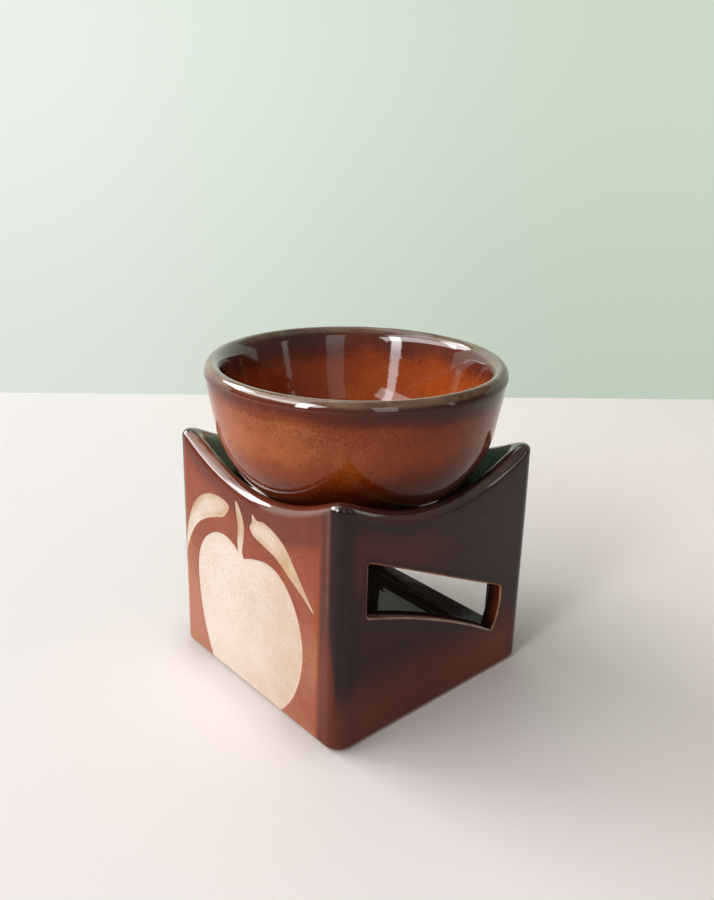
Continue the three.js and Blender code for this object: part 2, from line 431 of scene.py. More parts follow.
class Shader:
    """Places and links the nodes of one node tree."""

    def __init__(self, tree: NodeTree) -> None:
        """Keeps the tree."""
        self.tree = tree

    def node(self, kind: str, inputs: dict | None = None, **settings: object) -> Node:
        """Adds a node.

        Args:
            kind: The node's type.
            inputs: Sockets by name or number, each with a value or the socket that feeds it.
            settings: Properties of the node.

        Returns:
            The node.
        """
        node = self.tree.nodes.new(kind)
        for name, value in settings.items():
            setattr(node, name, value)
        self.feed_all(node, inputs or {})
        return node

    def feed_all(self, node: Node, inputs: dict) -> None:
        """Sets or links several inputs of a node."""
        for name, value in inputs.items():
            self.feed(node.inputs[name], value)

    def feed(self, socket: NodeSocket, value: object) -> None:
        """Sets a socket's value, or links another socket to it.

        Args:
            socket: The input socket.
            value: A number, a colour, a vector or an output socket.
        """
        if isinstance(value, NodeSocket):
            self.tree.links.new(value, socket)
        elif isinstance(value, tuple) and socket.type == "RGBA":
            socket.default_value = (*value, 1.0)
        else:
            socket.default_value = value

    def math(self, operation: str, *terms: object, clamp: bool = False) -> NodeSocket:
        """A number worked out from others."""
        node = self.node("ShaderNodeMath", dict(enumerate(terms)), operation=operation, use_clamp=clamp)
        return node.outputs[0]

    def weighted(self, *pairs: tuple[object, object]) -> NodeSocket:
        """A sum of products.

        Args:
            pairs: Each product's two factors.

        Returns:
            The sum.
        """
        products = [self.math("MULTIPLY", *pair) for pair in pairs]
        total = products.pop()
        while products:
            total = self.math("ADD", products.pop(), total)
        return total

    def step(self, value: object, low: float, high: float, start: float = 0.0,
             end: float = 1.0) -> NodeSocket:
        """A smooth step."""
        inputs = {"Value": value, "From Min": low, "From Max": high, "To Min": start, "To Max": end}
        return self.node("ShaderNodeMapRange", inputs, interpolation_type="SMOOTHSTEP").outputs["Result"]

    def mix(self, share: object, first: object, second: object, blend: str = "MIX") -> NodeSocket:
        """Two colours mixed.

        Args:
            share: How much of the second.
            first: The first colour.
            second: The second colour.
            blend: How they mix.

        Returns:
            The mixed colour.
        """
        node = self.node("ShaderNodeMix", data_type="RGBA", blend_type=blend, clamp_factor=True)
        self.feed_all(node, {0: share, 6: first, 7: second})
        return node.outputs[2]

    def shaded(self, colour: object, shade: object) -> NodeSocket:
        """A colour made darker."""
        grey = self.node("ShaderNodeCombineColor", {0: shade, 1: shade, 2: shade}).outputs[0]
        return self.mix(1.0, colour, grey, "MULTIPLY")

    def noise(self, place: object, scale: float, detail: float = 3.0, roughness: float = 0.5,
              distortion: float = 0.0) -> NodeSocket:
        """Noise between 0 and 1, its scale in waves to the millimetre."""
        inputs = {"Vector": place, "Scale": scale, "Detail": detail, "Roughness": roughness,
                  "Distortion": distortion}
        return self.node("ShaderNodeTexNoise", inputs).outputs["Fac"]

    def place(self) -> NodeSocket:
        """The object's own coordinates."""
        own = self.node("ShaderNodeTexCoord").outputs["Object"]
        return self.node("ShaderNodeVectorMath", {0: own, "Scale": 1 / MM}, operation="SCALE").outputs[0]

    def layer(self, name: str) -> NodeSocket:
        """A value carried by the mesh."""
        return self.node("ShaderNodeAttribute", attribute_name=name).outputs["Fac"]

    def bump(self, height: object, distance: float, strength: float = 1.0) -> NodeSocket:
        """A normal from a height."""
        inputs = {"Height": height, "Strength": strength, "Distance": distance * MM}
        return self.node("ShaderNodeBump", inputs).outputs["Normal"]


def new_material(name: str, inputs: dict) -> tuple[Material, Shader, Node]:
    """A material with one Principled shader.

    Args:
        name: The material's name.
        inputs: What the shader's sockets are set to.

    Returns:
        The material, the builder of its tree and its Principled node.
    """
    material = bpy.data.materials.new(name)
    material.use_nodes = True
    material.node_tree.nodes.clear()
    shader = Shader(material.node_tree)
    surface = shader.node("ShaderNodeBsdfPrincipled", inputs)
    shader.node("ShaderNodeOutputMaterial", {"Surface": surface.outputs["BSDF"]})
    return material, shader, surface


@dataclass(frozen=True)
class Socket:
    """A named socket of a shader node group."""

    name: str
    kind: str = "NodeSocketFloat"
    default: object = None


def new_group(name: str, inputs: Sequence[Socket],
              outputs: Sequence[Socket]) -> tuple[NodeTree, Shader, Node, Node]:
    """An empty shader node group.

    Args:
        name: The group's name.
        inputs: Its inputs.
        outputs: Its outputs.

    Returns:
        The group, the builder of its tree, and the nodes of its inputs and outputs.
    """
    tree = bpy.data.node_groups.new(name, "ShaderNodeTree")
    for sockets, direction in ((inputs, "INPUT"), (outputs, "OUTPUT")):
        for socket in sockets:
            made = tree.interface.new_socket(socket.name, in_out=direction, socket_type=socket.kind)
            if socket.default is not None:
                made.default_value = socket.default
    shader = Shader(tree)
    return tree, shader, shader.node("NodeGroupInput"), shader.node("NodeGroupOutput")


class Effect(Enum):
    """The effects that more than one finish uses."""

    MOTTLE = "glaze_mottle"
    LAYERS = "glaze_layers"
    CLAY = "bare_clay_grain"


class Effects:
    """Builds each shared effect once, as a shader node group, and places it in materials."""

    cloud_swing: float = 4.0
    speck_cells: float = 0.8
    speck_size: float = 0.3
    speck_edge: float = 0.08
    speck_gain: float = 4.0
    fleck_span: Span = (0.50, 0.60)

    def __init__(self) -> None:
        """Starts with no group built."""
        self.built: dict[Effect, NodeTree] = {}

    def use(self, shader: Shader, effect: Effect, inputs: dict) -> Node:
        """Places an effect in a material.

        Args:
            shader: The material's node builder.
            effect: Which effect.
            inputs: Values or sockets for its inputs.

        Returns:
            The group node.
        """
        makers = {Effect.MOTTLE: self.make_mottle, Effect.LAYERS: self.make_layers,
                  Effect.CLAY: self.make_clay}
        if effect not in self.built:
            self.built[effect] = makers[effect]()
        return shader.node("ShaderNodeGroup", inputs, node_tree=self.built[effect])

    def make_mottle(self) -> NodeTree:
        """Uneven glaze: cloudy thickness, dark specks, and the soft dimples of the fired surface.

        Returns:
            The group.
        """
        tree, shader, given, out = new_group(
            Effect.MOTTLE.value,
            [Socket("Place", "NodeSocketVector"), Socket("Depth", default=0.5),
             Socket("Cloud", default=0.2), Socket("Specks", default=0.3), Socket("Flecks", default=0.0)],
            [Socket("Depth"), Socket("Speck"), Socket("Height")])
        place = given.outputs["Place"]
        broad = shader.noise(place, 0.035, 3.0, 0.55, 0.6)
        fine = shader.noise(place, 0.22, 4.0, 0.65, 0.3)
        grain = shader.noise(place, 1.1, 2.0, 0.6)
        cloud = shader.weighted((broad, 0.45), (fine, 0.3), (grain, 0.25))
        centred = shader.math("SUBTRACT", cloud, 0.5)
        swing = shader.math("MULTIPLY", given.outputs["Cloud"], self.cloud_swing)
        swing = shader.math("MULTIPLY", centred, swing)
        depth = shader.math("ADD", given.outputs["Depth"], swing, clamp=True)
        # Specks gather where the glaze turns from thin to thick
        edge = shader.math("MULTIPLY", depth, shader.math("SUBTRACT", 1.0, depth))
        cells = shader.node("ShaderNodeTexVoronoi", {"Vector": place, "Scale": self.speck_cells})
        chance = shader.node("ShaderNodeSeparateColor", {"Color": cells.outputs["Color"]}).outputs["Red"]
        size = shader.math("MULTIPLY", chance, self.speck_size)
        dots = shader.step(shader.math("SUBTRACT", size, cells.outputs["Distance"]), 0.0, self.speck_edge)
        speck = shader.math("MULTIPLY", dots, shader.math("MULTIPLY", edge, self.speck_gain))
        speck = shader.math("MULTIPLY", speck, given.outputs["Specks"], clamp=True)
        flecks = shader.step(shader.noise(place, 1.5, 2.0, 0.6), *self.fleck_span)
        speck = shader.math("MAXIMUM", speck, shader.math("MULTIPLY", flecks, given.outputs["Flecks"]))
        soft, sharp = shader.noise(place, 0.16, 2.0), shader.noise(place, 0.8, 1.0)
        dimples = shader.weighted((soft, 0.8), (sharp, 0.2))
        shader.feed_all(out, {"Depth": depth, "Speck": speck, "Height": dimples})
        return tree

    def make_layers(self) -> NodeTree:
        """Colour of a glaze by its depth, which carries some painted light and shade, from thin to where it
        pools, and pale on edges, for breaks and painted highlights.

        Returns:
            The group.
        """
        colours = ("Thin", "Body", "Rich", "Pooled", "Break")
        tree, shader, given, out = new_group(
            Effect.LAYERS.value,
            [Socket("Depth", default=0.5), Socket("Edge", default=0.0), Socket("Speck", default=0.0)]
            + [Socket(name, "NodeSocketColor") for name in colours],
            [Socket("Color", "NodeSocketColor")])
        depth = given.outputs["Depth"]
        turns = (("Body", shader.step(depth, 0.05, 0.42)), ("Rich", shader.step(depth, 0.4, 0.7)),
                 ("Pooled", shader.step(depth, 0.66, 0.96)), ("Rich", given.outputs["Speck"]),
                 ("Break", given.outputs["Edge"]))
        colour = given.outputs["Thin"]
        for name, share in turns:
            colour = shader.mix(share, colour, given.outputs[name])
        shader.feed(out.inputs["Color"], colour)
        return tree

    def make_clay(self) -> NodeTree:
        """Bare fired clay: fine grain, a few dark grains, and a dry broken surface.

        Returns:
            The group.
        """
        tree, shader, given, out = new_group(
            Effect.CLAY.value,
            [Socket("Place", "NodeSocketVector"), Socket("Light", "NodeSocketColor"),
             Socket("Dark", "NodeSocketColor")],
            [Socket("Color", "NodeSocketColor"), Socket("Height")])
        grain = shader.noise(given.outputs["Place"], 1.6, 3.0, 0.7)
        patch = shader.noise(given.outputs["Place"], 0.05, 2.0, 0.5)
        tone = shader.weighted((shader.step(grain, 0.45, 0.66), 0.8), (shader.step(patch, 0.35, 0.7), 0.35))
        colour = shader.mix(tone, given.outputs["Light"], given.outputs["Dark"])
        shader.feed_all(out, {"Color": colour, "Height": grain})
        return tree


EFFECTS = Effects()


@dataclass(frozen=True)
class GlazeColours:
    """Linear colours of one glaze, from thin to pooled, and the pale colour of its edges, for breaks and,
    on the stand, painted highlights.
    """

    thin: Colour
    body: Colour
    rich: Colour
    pooled: Colour
    edge: Colour

    def inputs(self) -> dict[str, Colour]:
        """The inputs that the layers effect takes them by."""
        return {"Thin": self.thin, "Body": self.body, "Rich": self.rich, "Pooled": self.pooled,
                "Break": self.edge}


@dataclass(frozen=True)
class Glazing:
    """A glazed material under construction, and what its finish puts together in it."""

    material: Material
    shader: Shader
    surface: Node
    mottle: Node
    clay: Node
    glaze: NodeSocket
    glazed: NodeSocket


@dataclass(frozen=True)
class GlazeFinish:
    """Glazed clay: one glaze outside, another inside, and clay that stays bare in places."""

    outside: GlazeColours
    inside: GlazeColours
    clay_light: Colour
    clay_dark: Colour
    gloss: float
    specks: float
    cloud: Span
    cloud_span: Span = (0.5, 0.85)
    edge_span: Span = (0.36, 0.6)
    edge_share: Span = (0.45, 1.0)
    glaze_border: float = 0.12
    clay_roughness: float = 0.85
    ior: float = 1.35
    coat_ior: float = 2.0
    coat_roughness: float = 0.04

    def start(self, name: str, inner_layer: str) -> Glazing:
        """Starts the material with what both glazed pieces share.

        Args:
            name: The material's name.
            inner_layer: The mesh's layer that is 1 where the inner glaze lies.

        Returns:
            The material and its parts.
        """
        material, shader, surface = new_material(name, {
            "IOR": self.ior, "Coat IOR": self.coat_ior, "Coat Roughness": self.coat_roughness})
        place, depth = shader.place(), shader.layer("depth")
        mottle = EFFECTS.use(shader, Effect.MOTTLE, {
            "Place": place, "Depth": depth, "Specks": self.specks, "Flecks": shader.layer("flecks"),
            "Cloud": shader.step(depth, *self.cloud_span, *self.cloud)})
        patchy = shader.step(mottle.outputs["Height"], *self.edge_span, *self.edge_share)
        # The edge layer holds glaze breaks and, on the stand, painted highlights
        layered = {"Depth": mottle.outputs["Depth"], "Speck": mottle.outputs["Speck"],
                   "Edge": shader.math("MULTIPLY", shader.layer("edge"), patchy)}
        outer, inner = (EFFECTS.use(shader, Effect.LAYERS, {**layered, **colours.inputs()}).outputs["Color"]
                        for colours in (self.outside, self.inside))
        clay = EFFECTS.use(shader, Effect.CLAY, {
            "Place": place, "Light": self.clay_light, "Dark": self.clay_dark})
        glazed = shader.step(shader.layer("bare"), -self.glaze_border, self.glaze_border)
        shader.feed_all(surface, {
            "Coat Weight": shader.layer("glassy"),
            "Roughness": shader.step(glazed, 0.0, 1.0, self.clay_roughness, self.gloss)})
        glaze = shader.mix(shader.layer(inner_layer), outer, inner)
        return Glazing(material, shader, surface, mottle, clay, glaze, glazed)


@dataclass(frozen=True)
class StandFinish(GlazeFinish):
    """Brown glaze outside, green-black glaze in the chamber, bare clay in the design and underneath."""

    # The outside's edge colour also paints the highlights on the front corners and the front lip's left
    outside: GlazeColours = GlazeColours(
        thin=(0.40, 0.145, 0.075), body=(0.25, 0.040, 0.007), rich=(0.108, 0.016, 0.006),
        pooled=(0.021, 0.007, 0.007), edge=(0.50, 0.27, 0.16))
    # The chamber's thin and body greens are the green glaze lightened by painted light on the chamber's
    # upper walls
    inside: GlazeColours = GlazeColours(
        thin=(0.47, 0.78, 0.58), body=(0.24, 0.40, 0.30), rich=(0.026, 0.037, 0.03),
        pooled=(0.013, 0.009, 0.0065), edge=(0.35, 0.24, 0.15))
    clay_light: Colour = (0.775, 0.68, 0.62)
    clay_dark: Colour = (0.63, 0.50, 0.41)
    # Colour of the washed-on glaze over the bare clay, also used for its painted shade
    clay_wash_and_shade: Colour = (0.52, 0.34, 0.20)
    wash_span: Span = (0.3, 0.65)
    wash_share: Span = (0.6, 1.0)
    gloss: float = 0.07
    specks: float = 0.4
    cloud: Span = (0.15, 0.02)
    relief: float = 0.12
    glaze_relief: float = 0.4

    def material(self) -> Material:
        """Builds the material.

        Returns:
            The material.
        """
        parts = self.start("stand_glaze", "chamber")
        shader, dimples = parts.shader, parts.mottle.outputs["Height"]
        blotches = shader.step(dimples, *self.wash_span, *self.wash_share)
        # The layer holds the washed-on glaze and the painted shade on the design's right
        wash = shader.math("MULTIPLY", shader.layer("wash"), blotches)
        clay = shader.mix(wash, parts.clay.outputs["Color"], self.clay_wash_and_shade)
        rough = shader.weighted(
            (dimples, shader.math("MULTIPLY", parts.glazed, self.glaze_relief)),
            (parts.clay.outputs["Height"], shader.math("SUBTRACT", 1.0, parts.glazed)))
        height = shader.math("ADD", shader.math("MULTIPLY", rough, self.relief), shader.layer("pool"))
        shader.feed_all(parts.surface, {
            "Base Color": shader.mix(parts.glazed, clay, parts.glaze),
            "Normal": shader.bump(height, 1.0)})
        return parts.material


@dataclass(frozen=True)
class BowlFinish(GlazeFinish):
    """Amber-brown glaze, dark under the rim, olive on the lip, bare clay under the foot."""

    outside: GlazeColours = GlazeColours(
        thin=(0.40, 0.110, 0.032), body=(0.225, 0.038, 0.003), rich=(0.100, 0.011, 0.002),
        pooled=(0.040, 0.011, 0.005), edge=(0.205, 0.118, 0.068))
    inside: GlazeColours = GlazeColours(
        thin=(0.42, 0.095, 0.016), body=(0.30, 0.052, 0.008), rich=(0.12, 0.022, 0.010),
        pooled=(0.04, 0.012, 0.009), edge=(0.20, 0.17, 0.115))
    clay_light: Colour = (0.80, 0.62, 0.48)
    clay_dark: Colour = (0.58, 0.40, 0.29)
    gloss: float = 0.05
    specks: float = 0.9
    cloud: Span = (0.24, 0.24)
    relief: float = 0.1

    def material(self) -> Material:
        """Builds the material.

        Returns:
            The material.
        """
        parts = self.start("bowl_glaze", "basin")
        shader = parts.shader
        shader.feed_all(parts.surface, {
            "Base Color": shader.mix(parts.glazed, parts.clay.outputs["Color"], parts.glaze),
            "Normal": shader.bump(parts.mottle.outputs["Height"], self.relief)})
        return parts.material


@dataclass(frozen=True)
class PatternFinish:
    """A finish whose colour, roughness and relief all follow one pattern."""

    slot: str
    first: Colour
    second: Colour
    roughness: Span
    relief: float
    span: Span = (0.3, 0.7)
    metallic: float = 0.0
    subsurface: float = 0.0
    subsurface_radius: Colour = (0.004, 0.003, 0.002)

    def pattern(self, shader: Shader) -> NodeSocket:
        """The pattern. Each finish gives its own."""
        raise NotImplementedError

    def material(self) -> Material:
        """Builds the material.

        Returns:
            The material, named for its slot.
        """
        constants = {"Metallic": self.metallic}
        if self.subsurface:
            constants["Subsurface Weight"] = self.subsurface
            constants["Subsurface Radius"] = self.subsurface_radius
        material, shader, surface = new_material(self.slot, constants)
        pattern = self.pattern(shader)
        shader.feed_all(surface, {
            "Base Color": shader.mix(pattern, self.first, self.second),
            "Roughness": shader.step(pattern, *self.span, *self.roughness)})
        if self.relief:
            shader.feed(surface.inputs["Normal"], shader.bump(pattern, self.relief))
        return material


@dataclass(frozen=True)
class FoilFinish(PatternFinish):
    """Drawn aluminium foil with fine upright drawing marks."""

    slot: str = "candle_cup"
    first: Colour = (0.80, 0.80, 0.81)
    second: Colour = (0.62, 0.62, 0.64)
    roughness: Span = (0.24, 0.4)
    relief: float = 0.06
    metallic: float = 1.0
    stretch: float = 0.08

    def pattern(self, shader: Shader) -> NodeSocket:
        """The drawing marks."""
        scale = {"Vector": shader.place(), "Scale": (1.0, 1.0, self.stretch)}
        return shader.noise(shader.node("ShaderNodeMapping", scale).outputs[0], 1.4, 3.0, 0.6)


@dataclass(frozen=True)
class WaxFinish(PatternFinish):
    """White paraffin wax, satin and slightly see-through."""

    slot: str = "candle_wax"
    first: Colour = (0.86, 0.84, 0.78)
    second: Colour = (0.80, 0.77, 0.68)
    roughness: Span = (0.35, 0.55)
    relief: float = 0.15
    subsurface: float = 0.5

    def pattern(self, shader: Shader) -> NodeSocket:
        """Its cloudiness."""
        return shader.noise(shader.place(), 0.12, 4.0, 0.6)


@dataclass(frozen=True)
class WickFinish(PatternFinish):
    """Braided cotton, waxed."""

    slot: str = "wick"
    first: Colour = (0.50, 0.46, 0.38)
    second: Colour = (0.78, 0.75, 0.66)
    roughness: Span = (0.9, 0.6)
    relief: float = 0.15
    span: Span = (0.0, 1.0)
    braid_scale: float = 1.6
    braid_distortion: float = 2.0

    def pattern(self, shader: Shader) -> NodeSocket:
        """The braid."""
        inputs = {"Vector": shader.place(), "Scale": self.braid_scale, "Distortion": self.braid_distortion}
        return shader.node("ShaderNodeTexWave", inputs, bands_direction="DIAGONAL").outputs["Fac"]


@dataclass(frozen=True)
class TinnedFinish(PatternFinish):
    """Stamped tinned steel."""

    slot: str = "wick_holder"
    first: Colour = (0.62, 0.63, 0.64)
    second: Colour = (0.45, 0.45, 0.45)
    roughness: Span = (0.3, 0.5)
    relief: float = 0.0
    metallic: float = 1.0

    def pattern(self, shader: Shader) -> NodeSocket:
        """The grain of the tin."""
        return shader.noise(shader.place(), 0.8, 4.0, 0.6)


@dataclass
class FruitDesign:
    """Bare-clay design on the front wall: an apple, its stalk and two leaves.

    Each outline is a smooth closed curve through points across and up the wall, from its middle foot.
    """

    apple: tuple = (
        (-5.2, 47.6), (-9.5, 50.5), (-15.5, 51.9), (-22.0, 50.2), (-28.2, 45.0), (-31.6, 36.5),
        (-31.2, 24.0), (-28.0, 10.5), (-21.5, -2.0), (-11.0, -8.0), (2.0, -7.0), (13.5, -0.8),
        (21.8, 9.0), (26.1, 21.0), (26.3, 32.0), (22.8, 41.8), (16.5, 48.8), (9.0, 51.1), (1.0, 49.6))
    stalk: tuple = (
        (-6.7, 46.5), (-7.5, 52.0), (-7.1, 58.0), (-8.3, 64.6), (-7.8, 66.6), (-5.2, 63.4), (-3.7, 59.2),
        (-4.1, 54.5), (-4.9, 50.0), (-4.0, 46.5))
    left_leaf: tuple = (
        (-12.0, 62.9), (-15.2, 64.5), (-21.5, 64.3), (-28.2, 61.8), (-33.8, 56.6), (-37.6, 48.5),
        (-39.6, 40.0), (-40.6, 33.6), (-38.7, 38.6), (-35.6, 45.0), (-31.5, 50.2), (-26.0, 54.0),
        (-19.8, 56.7), (-15.2, 58.6))
    right_leaf: tuple = (
        (1.0, 65.2), (3.4, 63.9), (7.2, 64.4), (12.5, 63.2), (18.0, 60.4), (23.0, 55.0), (27.6, 49.6),
        (32.2, 44.2), (26.5, 47.7), (20.0, 51.3), (13.5, 54.9), (6.2, 56.8), (1.4, 58.1), (-0.5, 60.2),
        (0.7, 62.5))

    def distance(self, across: Array, up: Array) -> Array:
        """Signed distance to the nearest edge of the design.

        Args:
            across: Places across the wall.
            up: Heights.

        Returns:
            Distances, negative in the bare clay.
        """
        places = np.stack([across, up], 1)
        shapes = (self.apple, self.stalk, self.left_leaf, self.right_leaf)
        return np.min([outline_distance(places, closed_spline(shape)) for shape in shapes], 0)


@dataclass(frozen=True)
class Wall:
    """One wall of the stand: its quarter turns from the front, its columns, and its rows at either side."""

    turns: int
    columns: int
    left_rows: int
    right_rows: int
    opening: str = ""


@dataclass(frozen=True)
class FrontDepth(Marks):
    """Depth of the glaze on the stand's front, apart from its dark band and its right corner."""

    overall: Mark = Mark(0.22)
    thin_at_left: Mark = Mark(-0.14, Fade("x", -24.0, -40.0), Fade("height", 62.0, 40.0))
    upper_half: Mark = Mark(0.13, Fade("height", 28.0, 46.0))
    thin_foot: Mark = Mark(-0.12, Fade("height", 30.0, 10.0))
    foot_at_right: Mark = Mark(0.156, Fade("height", 30.0, 10.0), Fade("x", 4.0, 22.0))


@dataclass(frozen=True)
class FrontBand(Marks):
    """The dark band under the front's lip."""

    overall: Mark = Mark(0.27, Fade("band_edge", 1.0, 0.0))
    lighter_at_right: Mark = Mark(-0.01, Fade("x", -25.0, 25.0), Fade("band_edge", 1.0, 0.0))


@dataclass(frozen=True)
class SideDepth(Marks):
    """Depth of the glaze on the stand's other walls."""

    overall: Mark = Mark(0.60)
    above_foot: Mark = Mark(0.29, Fade("wavy_height", 10.0, 27.0))
    under_lip: Mark = Mark(0.12, Fade("below", 13.0, 6.0))
    thin_patch: Mark = Mark(-0.10, Fade("height", 48.0, 58.0), Fade("y", 8.0, -12.0),
                            Fade("corner", 1.0, 8.0))
    corners: Mark = Mark(0.12, Fade("corner", 10.0, 2.0))
    round_openings: Mark = Mark(0.08, Fade("opening", 4.0, 0.5))
    thin_lip: Mark = Mark(-0.10, Fade("below", 5.8, 4.6))
    line_under_lip: Mark = Mark(0.30, Hill("crest", -6.2, 0.6))


@dataclass(frozen=True)
class ChamberDepth(Marks):
    """Depth of the glaze in the chamber, thin under the lip, where its pale green is partly painted light.
    """

    overall: Mark = Mark(0.05)
    lower_part: Mark = Mark(0.95, Fade("height", 72.0, 54.0))


@dataclass(frozen=True)
class PaleEdgesAndHighlights(Marks):
    """Where the stand's glaze breaks pale on its edges, and the highlights painted on the front corners and
    the front lip's left.
    """

    chamber_edge: Mark = Mark(0.50, Hill("crest", 1.0, 0.4))
    front_chamber_edge: Mark = Mark(0.35, Share("front"), Hill("crest", 1.0, 0.4))
    openings: Mark = Mark(0.80, Share("shoulder"))
    side_lips: Mark = Mark(0.03, Share("side"), Hill("crest", -2.2, 1.6))
    rear_lips: Mark = Mark(0.22, Share("side"), Fade("y", -5.0, 32.0), Hill("crest", -2.2, 1.6))
    # Pale glaze break on the front lip's left, lightened further as a painted highlight
    front_lip_left_break_and_highlight: Mark = Mark(0.40, Share("front"), Fade("x", -8.0, -26.0), Hill("crest", -1.4, 1.6))
    # Painted highlight down the rounds of the front corners
    front_corner_highlights: Mark = Mark(0.18, Hill("past_straight", -0.2, 0.5), Fade("y", -30.0, -36.0),
                               Fade("height", 36.0, 60.0))


@dataclass(frozen=True)
class ClayWashAndShade(Marks):
    """The brown glaze washed over the design's bare clay, and in that colour the painted shade towards its
    right.
    """

    overall: Mark = Mark(0.04)
    # Painted shade: the design darkens towards its right
    to_the_right: Mark = Mark(0.22, Fade("x", -32.0, 6.0))
    top: Mark = Mark(0.10, Fade("height", 50.0, 60.0))
    foot: Mark = Mark(0.12, Fade("height", 16.0, 3.0))
    # Painted shade on the apple's right half, kept off the leaves above it
    apple_right: Mark = Mark(0.42, Fade("x", 2.0, 24.0))
    not_above_apple: Mark = Mark(-0.336, Fade("x", 2.0, 24.0), Fade("height", 55.0, 62.0))
    apple_shoulder: Mark = Mark(0.35, Fade("x", 10.0, 22.0), Fade("height", 44.0, 50.0))
    upper_edges: Mark = Mark(0.60, Fade("height", 44.0, 60.0), Fade("inward", 2.8, 0.4))
    leaves: Mark = Mark(0.12, Fade("height", 51.0, 58.0))
    left_leaf: Mark = Mark(0.30, Fade("x", 0.0, -14.0), Fade("height", 51.0, 58.0))
    left_leaf_middle: Mark = Mark(-0.22, Fade("x", -18.0, -25.0), Fade("height", 51.0, 58.0))
    left_leaf_end: Mark = Mark(0.38, Fade("x", -30.0, -35.0), Fade("height", 51.0, 58.0))
    left_leaf_tip: Mark = Mark(0.35, Fade("x", -31.5, -34.0), Fade("height", 30.0, 36.0),
                               Fade("height", 58.0, 51.0))


